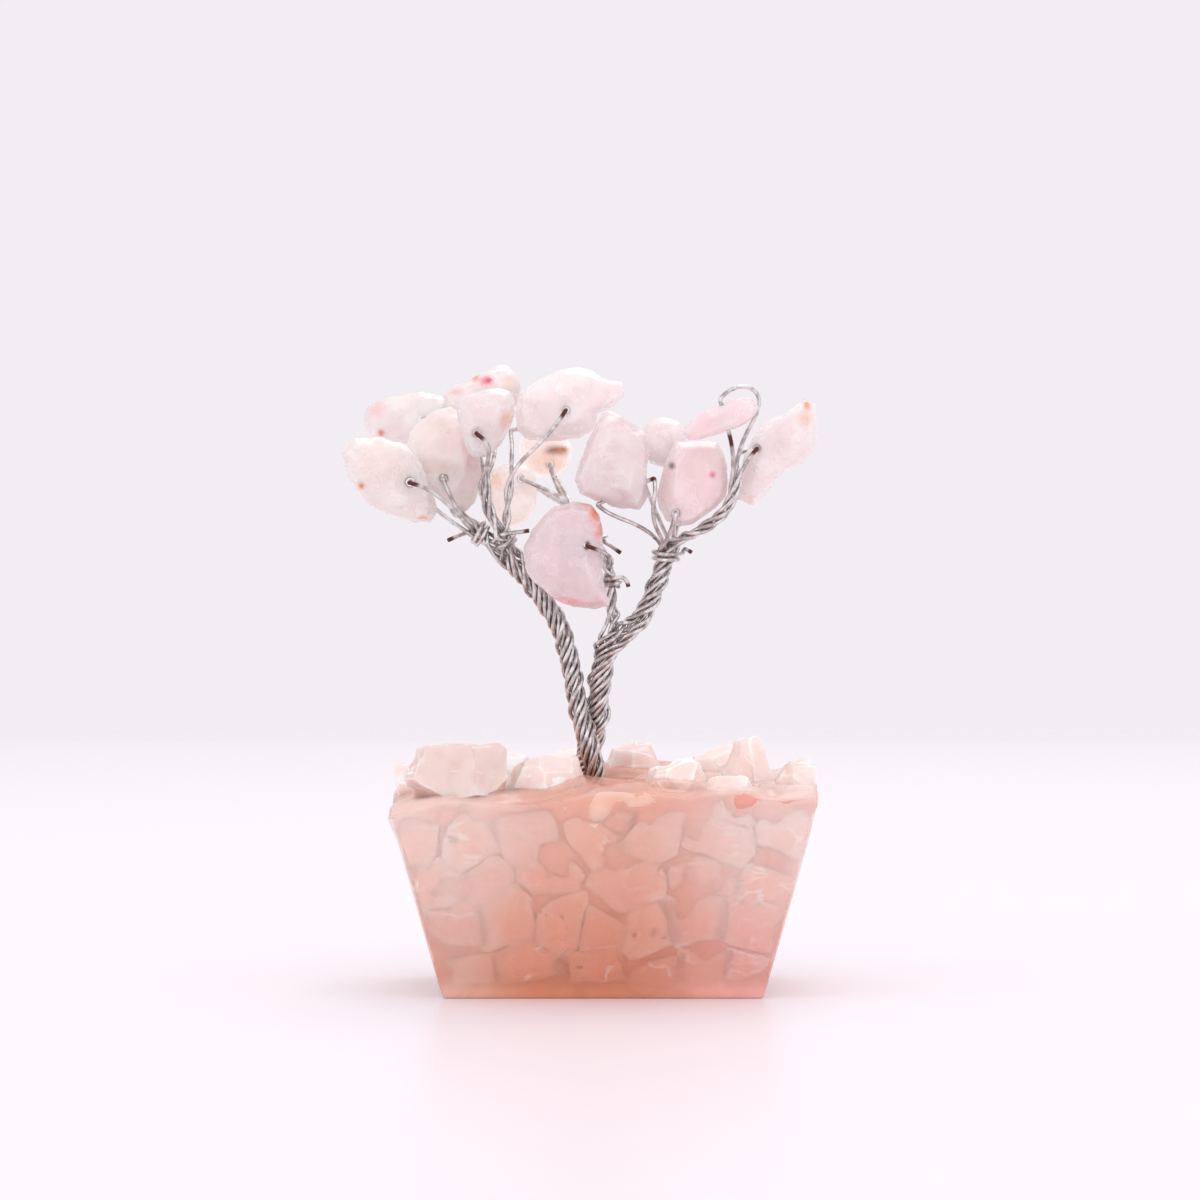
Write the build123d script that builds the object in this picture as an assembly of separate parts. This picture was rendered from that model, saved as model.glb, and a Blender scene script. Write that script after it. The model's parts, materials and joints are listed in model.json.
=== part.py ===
from build123d import *
import math
import os
import numpy as np
from scipy.optimize import linprog
from scipy.spatial import ConvexHull, HalfspaceIntersection, cKDTree

# Driving dimensions, in millimetres
base_height = 18.8
base_top_width = 40.7
base_top_depth = 28.6
base_bottom_width = 30.5
base_bottom_depth = 20.0
tree_height = 41.2
wire_diameter = 0.40
strand_clearance = 0.15
twist_pitch = 6.5
hole_diameter = 0.80
bottom_layer = 2.0
resin_film = 0.28
trunk_core_radius = 2.5
foot_spread = 7.0
foot_height = 0.95
point_spacing = 0.42
longest_run = 1.0
sharpest_step = math.radians(24)
least_bend = math.radians(0.4)
bend_share = 0.45

# Where the photograph shows the object, in its pixels
rim_row = 802
top_row = 365
middle_column = 603
mm_per_pixel = tree_height / (rim_row - top_row)


def place(column, row, depth):
    """A pixel of the photograph, with a depth on the same scale, as a point of the tree."""
    return np.array(
        [
            (column - middle_column) * mm_per_pixel,
            depth * mm_per_pixel,
            base_height + (rim_row - row) * mm_per_pixel,
        ]
    )


# Branches: column, row and depth of each turn of their centre lines, from the foot up
branch_pixels = {
    "left_trunk": [
        (599, 792, -10), (593, 768, -11), (588, 748, -10), (580, 722, -7), (575, 700, -4),
        (571, 674, -2), (568, 656, -1), (561, 632, -1), (550, 617, -2), (542, 602, -4),
        (530, 586, -6), (519, 575, -8), (509, 565, -9),
    ],
    "right_trunk": [
        (578, 792, 9), (583, 772, 11), (591, 754, 11), (596, 738, 9), (598, 720, 6),
        (599, 698, 3), (602, 670, 1), (607, 652, 0), (614, 644, -1),
    ],
    "left_low": [(500, 554, -10), (486, 541, -11), (472, 531, -12)],
    "left_high": [(507, 552, -14), (502, 539, -17)],
    "left_stalk": [
        (491, 527, -20), (486, 512, -25), (482, 500, -29), (481, 488, -31), (482, 476, -33),
    ],
    "middle_stalk": [
        (505, 526, -22), (503, 514, -26), (508, 499, -29), (507, 482, -31), (511, 467, -33),
    ],
    "right_high": [
        (628, 638, -3), (641, 627, -5), (650, 612, -5), (655, 598, -4), (661, 583, -3),
        (667, 566, -2), (669, 550, -2),
    ],
    "inner_stalk": [(616, 632, -3), (613, 612, -3), (610, 592, -2), (612, 576, -2)],
    "hidden_stalk": [
        (606, 562, 2), (592, 540, 8), (577, 519, 16), (566, 507, 24),
    ],
    "outer_stalk": [
        (682, 543, -9), (695, 537, -11), (708, 531, -13), (724, 521, -16), (736, 506, -22),
        (739, 490, -25), (738, 474, -26),
    ],
}

# Chips of the tree: outline, depth of the middle, thickness and lean
chip_settings = {
    "far_left_chip": {
        "outline_pixels": [
            (337, 451), (344, 441), (360, 438), (382, 439), (402, 444), (415, 458), (424, 476),
            (431, 497), (434, 515), (430, 526), (414, 528), (393, 521), (369, 509), (351, 491),
            (340, 469),
        ],
        "depth_pixels": -21,
        "thickness_pixels": 38,
        "lean_share": (0.12, -0.10),
    },
    "upper_left_chip": {
        "outline_pixels": [
            (359, 410), (382, 399), (410, 394), (434, 396), (446, 408), (444, 426),
            (426, 443), (400, 449), (372, 447), (356, 429),
        ],
        "depth_pixels": 92,
        "thickness_pixels": 34,
        "lean_share": (-0.15, 0.20),
    },
    "left_middle_chip": {
        "outline_pixels": [
            (403, 450), (408, 428), (426, 414), (453, 409), (471, 420), (479, 445),
            (480, 472), (475, 497), (466, 514), (454, 518), (441, 508), (425, 496), (409, 480),
        ],
        "depth_pixels": 24,
        "thickness_pixels": 34,
        "lean_share": (0.10, 0.10),
    },
    "grey_pink_chip": {
        "outline_pixels": [
            (455, 403), (475, 392), (501, 388), (512, 396), (514, 415), (508, 432),
            (498, 448), (483, 460), (469, 458), (459, 434),
        ],
        "depth_pixels": -32,
        "thickness_pixels": 34,
        "lean_share": (0.15, -0.15),
    },
    "ridge_chip": {
        "outline_pixels": [
            (438, 396), (462, 382), (482, 372), (499, 365), (511, 371), (519, 387),
            (515, 408), (497, 426), (470, 429), (447, 416),
        ],
        "depth_pixels": 64,
        "thickness_pixels": 32,
        "lean_share": (0.08, 0.20),
    },
    "pale_peach_chip": {
        "outline_pixels": [
            (484, 492), (490, 474), (505, 467), (522, 468), (534, 480), (537, 500),
            (530, 520), (517, 532), (500, 533), (488, 518),
        ],
        "depth_pixels": 42,
        "thickness_pixels": 28,
        "lean_share": (-0.10, 0.08),
    },
    "crown_chip": {
        "outline_pixels": [
            (514, 397), (530, 383), (547, 373), (570, 367), (593, 371), (612, 380),
            (627, 386), (627, 400), (616, 408), (599, 415), (594, 431), (582, 442),
            (556, 445), (530, 444), (515, 431),
        ],
        "depth_pixels": 36,
        "thickness_pixels": 40,
        "lean_share": (0.06, 0.12),
    },
    "brown_stained_chip": {
        "outline_pixels": [
            (515, 452), (524, 436), (544, 430), (562, 436), (572, 450), (571, 468),
            (558, 480), (538, 482), (521, 474),
        ],
        "depth_pixels": 88,
        "thickness_pixels": 30,
        "lean_share": (0.10, -0.12),
    },
    "teardrop_chip": {
        "outline_pixels": [
            (522, 550), (529, 533), (543, 515), (559, 506), (575, 502), (594, 508),
            (603, 520), (605, 535), (603, 552), (602, 570), (604, 586), (611, 603),
            (606, 616), (590, 611), (567, 608), (550, 603), (538, 591), (527, 577), (523, 563),
        ],
        "depth_pixels": -42,
        "thickness_pixels": 42,
        "lean_share": (0.05, 0.12),
    },
    "triangle_chip": {
        "outline_pixels": [
            (607, 411), (618, 412), (631, 422), (642, 429), (650, 443), (649, 470),
            (651, 490), (646, 507), (640, 515), (626, 512), (608, 507), (592, 501),
            (577, 494), (572, 483), (580, 462), (589, 437), (598, 418),
        ],
        "depth_pixels": -21,
        "thickness_pixels": 42,
        "lean_share": (0.04, 0.06),
    },
    "shadowed_chip": {
        "outline_pixels": [
            (643, 433), (652, 422), (668, 420), (684, 427), (690, 444), (686, 462),
            (672, 472), (654, 470), (644, 456),
        ],
        "depth_pixels": 36,
        "thickness_pixels": 30,
        "lean_share": (-0.10, 0.10),
    },
    "front_pink_chip": {
        "outline_pixels": [
            (677, 443), (698, 443), (715, 440), (722, 446), (729, 463), (731, 481),
            (728, 499), (717, 511), (702, 522), (687, 531), (674, 528), (664, 521),
            (659, 509), (658, 494), (664, 471), (669, 455),
        ],
        "depth_pixels": -10,
        "thickness_pixels": 40,
        "lean_share": (-0.08, 0.06),
    },
    "loop_chip": {
        "outline_pixels": [
            (682, 434), (698, 415), (722, 404), (743, 397), (759, 402), (760, 412),
            (747, 425), (731, 432), (710, 438), (692, 442),
        ],
        "depth_pixels": -44,
        "thickness_pixels": 24,
        "lean_share": (0.0, 0.0),
    },
    "far_right_chip": {
        "outline_pixels": [
            (809, 398), (819, 402), (821, 420), (824, 436), (820, 451), (803, 467),
            (786, 475), (775, 490), (764, 504), (752, 509), (741, 504), (737, 493),
            (740, 479), (747, 459), (754, 443), (768, 425), (790, 410),
        ],
        "depth_pixels": 10,
        "thickness_pixels": 34,
        "lean_share": (-0.12, 0.06),
    },
}

# Wires: the two mouths of the drilled hole, and the way of each leg from there down
wire_settings = {
    "far_left_chip": {
        "hole_pixels": [(407, 484, -48), (407, 484, 6)],
        "legs": [
            {"own": [(411, 480, -50), (420, 482, -48), (428, 492, -42), (444, 503, -32), (458, 518, -18)],
             "branches": ["left_low", "left_trunk"]},
            {"own": [(409, 487, 9), (418, 498, 9), (432, 514, 5), (445, 525, -2), (459, 531, -9)],
             "branches": ["left_low", "left_trunk"]},
        ],
    },
    "upper_left_chip": {
        "hole_pixels": [(420, 424, 66), (420, 424, 116)],
        "legs": [
            {"own": [(422, 430, 62), (429, 452, 60), (438, 480, 54), (448, 504, 36), (461, 523, 6)],
             "branches": ["left_low", "left_trunk"]},
            {"own": [(422, 429, 118), (430, 450, 98), (440, 480, 74), (452, 508, 44), (464, 525, 10)],
             "branches": ["left_low", "left_trunk"]},
        ],
    },
    "left_middle_chip": {
        "hole_pixels": [(440, 482, -2), (440, 482, 48)],
        "legs": [
            {"own": [(441, 486, -5), (445, 498, -7), (452, 510, -9), (462, 523, -11)],
             "branches": ["left_low", "left_trunk"]},
            {"own": [(441, 487, 50), (448, 502, 40), (459, 520, 18), (468, 532, 2)],
             "wrap": ("left_low", 0.85, 2.0),
             "tail": [(454, 534, -20), (446, 543, -22)],
             "branches": []},
        ],
    },
    "grey_pink_chip": {
        "hole_pixels": [(475, 434, -58), (475, 434, -6)],
        "legs": [
            {"own": [(479, 434, -61), (488, 435, -61), (495, 443, -59), (489, 458, -50), (484, 470, -38)],
             "branches": ["left_stalk", "left_high", "left_trunk"]},
            {"own": [(475, 438, -4), (477, 452, -8), (480, 466, -20)],
             "branches": ["left_stalk", "left_high", "left_trunk"]},
        ],
    },
    "ridge_chip": {
        "hole_pixels": [(487, 412, 40), (487, 412, 88)],
        "legs": [
            {"own": [(487, 416, 36), (488, 432, 26), (488, 448, 8), (485, 464, -18)],
             "branches": ["left_stalk", "left_high", "left_trunk"]},
            {"own": [(488, 417, 90), (492, 434, 78), (493, 454, 44), (489, 470, 4), (486, 484, -18)],
             "wrap": ("left_high", 0.95, 2.0),
             "tail": [(514, 535, -30), (528, 533, -32)],
             "branches": ["left_stalk"]},
        ],
    },
    "crown_chip": {
        "hole_pixels": [(565, 412, 6), (565, 412, 66)],
        "legs": [
            {"own": [(562, 416, 3), (552, 432, -4), (538, 449, -14), (523, 455, -26)],
             "branches": ["middle_stalk", "left_high", "left_trunk"]},
            {"own": [(561, 414, 69), (542, 425, 70), (520, 433, 64), (508, 432, 40), (508, 433, 8),
                     (513, 446, -18)],
             "branches": ["middle_stalk", "left_high", "left_trunk"]},
        ],
    },
    "pale_peach_chip": {
        "hole_pixels": [(519, 482, 20), (519, 482, 64)],
        "legs": [
            {"own": [(523, 484, 16), (533, 489, 16), (549, 493, 20), (560, 501, 24)],
             "branches": ["hidden_stalk", "inner_stalk", "right_trunk"]},
            {"own": [(523, 485, 66), (535, 494, 62), (549, 501, 46), (560, 506, 32)],
             "branches": ["hidden_stalk", "inner_stalk", "right_trunk"]},
        ],
    },
    "brown_stained_chip": {
        "hole_pixels": [(548, 469, 64), (548, 469, 112)],
        "legs": [
            {"own": [(549, 474, 61), (553, 487, 52), (560, 499, 34)],
             "branches": ["hidden_stalk", "inner_stalk", "right_trunk"]},
            {"own": [(550, 474, 112), (558, 488, 92), (566, 502, 56), (570, 510, 32)],
             "wrap": ("hidden_stalk", 0.35, 2.0),
             "tail": [(612, 548, 6), (621, 557, 4)],
             "branches": []},
        ],
    },
    "teardrop_chip": {
        "hole_pixels": [(587, 547, -72), (587, 547, -14)],
        "legs": [
            {"own": [(592, 547, -75), (602, 551, -72), (610, 557, -58), (614, 562, -34), (614, 568, -14)],
             "branches": ["inner_stalk", "right_trunk"]},
            {"own": [(591, 549, -11), (602, 558, -10), (610, 567, -8)],
             "wrap": ("inner_stalk", 0.80, 2.0),
             "tail": [(633, 573, -10), (635, 584, -12), (629, 591, -12)],
             "branches": []},
        ],
    },
    "triangle_chip": {
        "hole_pixels": [(597, 507, -21), (655, 480, -21)],
        "legs": [
            {"own": [(593, 511, -21), (598, 516, -20), (613, 519, -20), (630, 523, -20), (646, 530, -17),
                     (660, 541, -9)],
             "branches": ["right_high", "right_trunk"]},
            {"own": [(659, 481, -24), (659, 489, -36), (654, 504, -42), (650, 521, -32), (658, 538, -16)],
             "branches": ["right_high", "right_trunk"]},
        ],
    },
    "shadowed_chip": {
        "hole_pixels": [(638, 461, 36), (694, 461, 36)],
        "legs": [
            {"own": [(636, 464, 36), (641, 480, 35), (653, 505, 30), (664, 532, 14)],
             "branches": ["right_high", "right_trunk"]},
            {"own": [(696, 464, 36), (693, 480, 35), (684, 508, 30), (678, 532, 14)],
             "wrap": ("right_high", 0.93, 2.0),
             "tail": [(686, 552, -8), (693, 556, -6)],
             "branches": []},
        ],
    },
    "front_pink_chip": {
        "hole_pixels": [(677, 516, -36), (677, 516, 16)],
        "legs": [
            {"own": [(676, 520, -38), (673, 534, -28)],
             "branches": ["right_high", "right_trunk"]},
            {"own": [(677, 520, 18), (675, 535, 12)],
             "branches": ["right_high", "right_trunk"]},
        ],
    },
    "loop_chip": {
        "hole_pixels": [(721, 399, -44), (732, 439, -44)],
        "legs": [
            {"own": [(721, 394, -44), (728, 386, -43), (746, 380, -40), (763, 386, -38), (769, 400, -36),
                     (762, 414, -34), (751, 427, -32), (742, 442, -30), (739, 458, -28)],
             "branches": ["outer_stalk", "right_high", "right_trunk"]},
            {"own": [(734, 445, -43), (737, 456, -36)],
             "branches": ["outer_stalk", "right_high", "right_trunk"]},
        ],
    },
    "far_right_chip": {
        "hole_pixels": [(760, 450, -14), (760, 450, 36)],
        "legs": [
            {"own": [(757, 451, -17), (749, 456, -22), (742, 465, -26)],
             "branches": ["outer_stalk", "right_high", "right_trunk"]},
            {"own": [(756, 451, 39), (745, 453, 32), (737, 458, 10), (738, 466, -12)],
             "branches": ["outer_stalk", "right_high", "right_trunk"]},
        ],
    },
}

# Proportions of a tumbled chip: how its rings shrink and where they lie through its thickness
ring_size_shares = (0.50, 0.84, 1.0, 0.82, 0.46)
ring_depth_shares = (-1.0, -0.66, 0.05, 0.70, 1.0)
outline_corners = 18
swell_share = 0.16

# How the strands of a branch settle against each other
settling_rounds = 260
closing_rounds = 300
evening_share = 0.22
closing_ease = 0.3
holding_share = 0.05
chip_round = 3
crossing_slant = math.sin(math.radians(25))
chip_clearance = 0.22
straightening_share = 0.8
own_steps = 5
strand_packing_share = 0.54

# How the feet of the strands differ from each other
foot_knee_share = 0.25
foot_spread_change_share = 0.25
foot_height_change_share = 0.35
foot_spread_rhythm = 5.0
foot_height_rhythm = 3.0


def closed_curve(corners, count):
    """Even points along a smooth closed curve through the corners of an outline."""
    corners = np.array(corners, dtype=float)
    fine = []
    for index in range(len(corners)):
        before, start, end, after = (corners[(index + step) % len(corners)] for step in (-1, 0, 1, 2))
        for share in np.linspace(0, 1, 12, endpoint=False):
            fine.append(cubic_between(before, start, end, after, share))
    return even_points(np.array(fine + fine[:1]), count)[:-1]


def cubic_between(before, start, end, after, share):
    """A point of the smooth curve from start to end that leans on its neighbours."""
    pull_out = (end - before) / 2
    pull_in = (after - start) / 2
    rest = 1 - share
    return (
        start * rest * rest * (1 + 2 * share)
        + end * share * share * (3 - 2 * share)
        + pull_out * share * rest * rest
        - pull_in * share * share * rest
    )


def even_points(points, count):
    """The line through the points, as count even steps."""
    steps = np.linalg.norm(np.diff(points, axis=0), axis=1)
    run = np.concatenate([[0], np.cumsum(steps)])
    wanted = np.linspace(0, run[-1], count + 1)
    return np.stack([np.interp(wanted, run, points[:, axis]) for axis in range(points.shape[1])], axis=1)


def smooth_route(points, spacing):
    """Points about a spacing apart along a smooth curve through the given points."""
    points = np.array(points, dtype=float)
    padded = np.vstack([2 * points[0] - points[1], points, 2 * points[-1] - points[-2]])
    fine = []
    for index in range(1, len(padded) - 2):
        for share in np.linspace(0, 1, 10, endpoint=False):
            fine.append(cubic_between(*padded[index - 1 : index + 3], share))
    fine = np.array(fine + [points[-1]])
    length = np.linalg.norm(np.diff(fine, axis=0), axis=1).sum()
    return even_points(fine, max(2, round(length / spacing)))


def chip_rings(settings, phase):
    """The rings of corners of a tumbled chip, from its front cap to its back cap."""
    outline = closed_curve(settings["outline_pixels"], outline_corners)
    middle = outline.mean(axis=0)
    thickness = settings["thickness_pixels"]
    lean_across, lean_up = settings["lean_share"]
    rings = []
    for level, (size, depth) in enumerate(zip(ring_size_shares, ring_depth_shares)):
        ring = []
        for turn, corner in enumerate(outline):
            angle = 2 * math.pi * turn / outline_corners
            swell = 1 + swell_share * math.sin(2 * angle + phase + level)
            column, row = middle + (corner - middle) * size
            lean = lean_across * (column - middle[0]) + lean_up * (middle[1] - row)
            ring.append(place(column, row, settings["depth_pixels"] + lean + depth * swell * thickness / 2))
        rings.append(np.array(ring))
    return rings


def chip_solid(rings):
    """A closed solid of flat facets round the rings of a chip."""
    faces = []
    for near, far in zip(rings, rings[1:]):
        for turn in range(outline_corners):
            after = (turn + 1) % outline_corners
            faces.append(facet(near[turn], near[after], far[after]))
            faces.append(facet(near[turn], far[after], far[turn]))
    for ring in (rings[0], rings[-1]):
        middle = ring.mean(axis=0)
        for turn in range(outline_corners):
            faces.append(facet(ring[turn], ring[(turn + 1) % outline_corners], middle))
    return Solid(Shell(faces))


def facet(*corners):
    """A flat face with the given corners."""
    return Face(Wire.make_polygon([tuple(corner) for corner in corners], close=True))


def strand_offsets(count):
    """Where the strands of a branch lie about its middle, as radius and angle."""
    pitch = wire_diameter + strand_clearance
    if count == 1:
        return [(0.0, 0.0)]
    if count <= 5:
        radius = pitch / (2 * math.sin(math.pi / count))
        return [(radius, 2 * math.pi * turn / count) for turn in range(count)]
    golden = math.pi * (3 - math.sqrt(5))
    return [(strand_packing_share * pitch * math.sqrt(turn + 0.5), golden * turn) for turn in range(count)]


def frames_along(route):
    """Two directions square to each point of a route, carried along it without turning."""
    ahead = np.gradient(route, axis=0)
    ahead /= np.linalg.norm(ahead, axis=1)[:, None]
    across = np.array([1.0, 0.0, 0.0])
    first = []
    for direction in ahead:
        across = across - direction * (across @ direction)
        across = across / np.linalg.norm(across)
        first.append(across)
    first = np.array(first)
    return first, np.cross(ahead, first)


def strand_in_branch(route, radius, angle):
    """A strand's helix about a branch, from the foot of the branch to its tip."""
    first, second = frames_along(route)
    steps = np.concatenate([[0], np.cumsum(np.linalg.norm(np.diff(route, axis=0), axis=1))])
    turn = angle + 2 * math.pi * steps / twist_pitch
    return route + radius * (np.cos(turn)[:, None] * first + np.sin(turn)[:, None] * second)


def wrap_round(route, share, turns, radius, start):
    """Close turns of a wire's end about a branch, beginning on the side of the start."""
    first, second = frames_along(route)
    at = int(share * (len(route) - 1))
    ahead = np.cross(first[at], second[at])
    reach = start - route[at]
    begin = math.atan2(reach @ second[at], reach @ first[at])
    points = []
    for step in np.arange(0, turns * 2 * math.pi, point_spacing / radius):
        across = math.cos(begin + step) * first[at] + math.sin(begin + step) * second[at]
        climb = (step / (2 * math.pi) - turns / 2) * (wire_diameter + strand_clearance)
        points.append(route[at] + radius * across + climb * ahead)
    return np.array(points)


branch_routes = {}
for name, pixels in branch_pixels.items():
    centre = [place(*pixel) for pixel in pixels]
    if name.endswith("_trunk"):
        entry = centre[0]
        lowest = np.array([entry[0], entry[1], bottom_layer])
        halfway = (lowest + entry) / 2
        centre = [lowest, halfway] + centre
    branch_routes[name] = smooth_route(centre, point_spacing)

trunk_middle = (branch_routes["left_trunk"][0] + branch_routes["right_trunk"][0]) / 2
trunk_middle[2] = 0

chip_corners = {}
chip_hulls = {}
for phase, (name, settings) in enumerate(chip_settings.items()):
    chip_corners[name] = chip_rings(settings, phase)
    chip_hulls[name] = ConvexHull(np.vstack(chip_corners[name])).equations

# Each branch's strands, so that every leg has its own slot in it
branch_strands = {name: [] for name in branch_pixels}
for chip_name, settings in wire_settings.items():
    for number, leg in enumerate(settings["legs"]):
        for branch in leg["branches"]:
            branch_strands[branch].append((chip_name, number))


def leg_points(chip_name, number, leg):
    """A leg's points from the hole down to its foot, or to its cut end."""
    points = smooth_route([place(*pixel) for pixel in leg["own"]], point_spacing)
    for branch in leg["branches"]:
        strands = branch_strands[branch]
        radius, angle = strand_offsets(len(strands))[strands.index((chip_name, number))]
        strand = strand_in_branch(branch_routes[branch], radius, angle)[::-1]
        points = np.vstack([points, strand])
    if "wrap" in leg:
        branch, share, turns = leg["wrap"]
        strands = strand_offsets(len(branch_strands[branch]))
        radius = strands[-1][0] + wire_diameter + strand_clearance
        points = np.vstack([points, wrap_round(branch_routes[branch], share, turns, radius, points[-1])])
    if "tail" in leg:
        points = np.vstack([points, [place(*pixel) for pixel in leg["tail"]]])
    return points


def foot_points(start, angle, spread, height):
    """The splayed foot of a strand in the clear bottom layer of the base."""
    outward = np.array([math.cos(angle), math.sin(angle), 0])
    knee = np.array([start[0], start[1], height]) + outward * spread * foot_knee_share
    toe = np.array([start[0], start[1], height]) + outward * spread
    return [knee, toe]


def trace_wires():
    """Every wire's points as first laid out, and which of them stay put."""
    legs = {}
    feet = []
    for chip_name, settings in wire_settings.items():
        for number, leg in enumerate(settings["legs"]):
            points = leg_points(chip_name, number, leg)
            legs[chip_name, number] = points
            if leg["branches"] and leg["branches"][-1].endswith("_trunk"):
                feet.append((chip_name, number))
    bearings = {key: math.atan2(*(legs[key][-1] - trunk_middle)[[1, 0]]) for key in feet}
    for turn, key in enumerate(sorted(feet, key=bearings.get)):
        angle = 2 * math.pi * turn / len(feet) - math.pi
        spread = foot_spread * (1 + foot_spread_change_share * math.sin(foot_spread_rhythm * turn))
        height = foot_height * (1 + foot_height_change_share * math.sin(foot_height_rhythm * turn))
        foot = foot_points(legs[key][-1], angle, spread, height)
        legs[key] = np.vstack([legs[key][:-2], foot])
    wires = {}
    for chip_name, settings in wire_settings.items():
        mouths = [place(*pixel) for pixel in settings["hole_pixels"]]
        depth = np.linalg.norm(mouths[1] - mouths[0])
        stretch = even_points(np.array(mouths), max(3, round(depth / point_spacing)))
        first = even_leg(np.vstack([mouths[0], legs[chip_name, 0]]))[1:]
        second = even_leg(np.vstack([mouths[1], legs[chip_name, 1]]))[1:]
        points = np.vstack([first[::-1], stretch, second])
        held = np.zeros(len(points), dtype=bool)
        held[len(first) : len(first) + len(stretch)] = True
        held[[0, -1]] = True
        wires[chip_name] = (points, held)
    return wires


def even_leg(points):
    """A leg's points, evenly spaced."""
    length = np.linalg.norm(np.diff(points, axis=0), axis=1).sum()
    return even_points(points, round(length / point_spacing))


def settle(wires):
    """Let the strands push each other and the chips aside, and lie smoothly."""
    names = list(wires)
    points = np.vstack([wires[name][0] for name in names])
    held = np.concatenate([wires[name][1] for name in names])
    strand = np.concatenate([[index] * len(wires[name][0]) for index, name in enumerate(names)])
    clear_of_chip = wire_diameter / 2 + chip_clearance
    core_room = trunk_core_radius - wire_diameter / 2 - strand_clearance
    home = points.copy()
    inner = np.zeros(len(points), dtype=bool)
    inner[1:-1] = (strand[1:-1] == strand[:-2]) & (strand[1:-1] == strand[2:])
    free = inner & ~held
    apart = wire_diameter + strand_clearance
    for turn in range(settling_rounds + closing_rounds):
        closing = turn >= settling_rounds
        nearly_done = turn >= settling_rounds + straightening_share * closing_rounds
        middle = points.copy()
        middle[1:-1] = (points[:-2] + points[2:]) / 2
        pull = 0 if nearly_done else evening_share * (closing_ease if closing else 1)
        hold = 0 if closing else holding_share
        points[free] += pull * (middle - points)[free] + hold * (home - points)[free]
        push = np.zeros_like(points)
        meets = np.zeros(len(points))
        pairs = cKDTree(points).query_pairs(apart, output_type="ndarray")
        near = (strand[pairs[:, 0]] == strand[pairs[:, 1]]) & (np.abs(pairs[:, 0] - pairs[:, 1]) < own_steps)
        pairs = pairs[~near]
        between = points[pairs[:, 0]] - points[pairs[:, 1]]
        ahead = np.gradient(points, axis=0)
        ahead /= np.linalg.norm(ahead, axis=1)[:, None]
        square = np.cross(ahead[pairs[:, 0]], ahead[pairs[:, 1]])
        slant = np.linalg.norm(square, axis=1)
        square /= np.maximum(slant, 1e-6)[:, None]
        over = (between * square).sum(axis=1)
        square *= np.where(over < 0, -1, 1)[:, None]
        gap = np.linalg.norm(between, axis=1)
        toward = between / np.maximum(gap, 1e-6)[:, None]
        crossing = slant > crossing_slant
        toward[crossing] = square[crossing]
        gap[crossing] = np.abs(over[crossing])
        shove = toward * ((apart - gap) / 2)[:, None]
        np.add.at(push, pairs[:, 0], shove)
        np.add.at(push, pairs[:, 1], -shove)
        np.add.at(meets, pairs.ravel(), 1)
        points[free] += (push / np.maximum(1, meets / 2)[:, None])[free]
        for chip_name, planes in chip_hulls.items():
            if turn % chip_round:
                continue
            corners = np.vstack(chip_corners[chip_name])
            reach = clear_of_chip + np.linalg.norm(corners - corners.mean(axis=0), axis=1).max()
            close = np.flatnonzero(free & (np.linalg.norm(points - corners.mean(axis=0), axis=1) < reach))
            depths = points[close] @ planes[:, :3].T + planes[:, 3]
            outermost = depths.argmax(axis=1)
            lift = np.maximum(0, clear_of_chip - depths.max(axis=1))
            points[close] += lift[:, None] * planes[outermost, :3]
        low = free & (points[:, 2] < wire_diameter)
        points[low, 2] = wire_diameter
        reach = np.linalg.norm(points[:, :2] - trunk_middle[:2], axis=1)
        in_core = free & (points[:, 2] > bottom_layer - wire_diameter) & (points[:, 2] < base_height)
        wide = in_core & (reach > core_room)
        inward_share = (core_room / reach[wide])[:, None]
        points[wide, :2] = trunk_middle[:2] + (points[wide, :2] - trunk_middle[:2]) * inward_share
    return {name: points[strand == index] for index, name in enumerate(names)}


def least_gap(wires):
    """The least room between the surfaces of two wires, on their points, and where it is."""
    fine = {}
    for name, points in wires.items():
        length = np.linalg.norm(np.diff(points, axis=0), axis=1).sum()
        fine[name] = even_points(points, round(length / (wire_diameter / 4)))
    least = (math.inf, "", "", None)
    names = list(wires)
    for index, name in enumerate(names):
        tree = cKDTree(fine[name])
        for other in names[index + 1 :]:
            gaps, _ = tree.query(fine[other])
            if gaps.min() < least[0]:
                least = (gaps.min(), name, other, fine[other][gaps.argmin()])
    return least[0] - wire_diameter, *least[1:]


def bent_path(points, held):
    """Straight runs joined by tangent arcs, through as few of the points as keep the bends gentle."""
    kept = [0]
    for index in range(1, len(points) - 1):
        reach = np.linalg.norm(points[index] - points[kept[-1]])
        after = points[index + 1] - points[index]
        before = points[index] - points[kept[-1]]
        turned = before @ after / np.linalg.norm(before) / np.linalg.norm(after)
        bends = turned < math.cos(sharpest_step)
        if reach + point_spacing > longest_run or bends or held[index - 1] != held[index]:
            kept.append(index)
    kept.append(len(points) - 1)
    corners = [Vector(*points[index]) for index in kept]
    edges = []
    start = corners[0]
    for before, corner, after in zip(corners, corners[1:], corners[2:]):
        inward = (corner - before).normalized()
        outward = (after - corner).normalized()
        turn = math.radians(inward.get_angle(outward))
        if turn < least_bend:
            continue
        reach = bend_share * min((corner - before).length, (after - corner).length)
        near = corner - inward * reach
        far = corner + outward * reach
        radius = reach / math.tan(turn / 2)
        centre = corner + (outward - inward).normalized() * (radius / math.cos(turn / 2))
        middle = centre + (corner - centre).normalized() * radius
        edges.append(Edge.make_line(start, near))
        edges.append(Edge.make_three_point_arc(near, middle, far))
        start = far
    edges.append(Edge.make_line(start, corners[-1]))
    return Wire(edges)


def wire_solid(points, held):
    """A round wire along its points."""
    path = bent_path(points, held)
    end = Plane(origin=path @ 0, z_dir=path % 0)
    return sweep(end * Circle(wire_diameter / 2), path=path)


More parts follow.
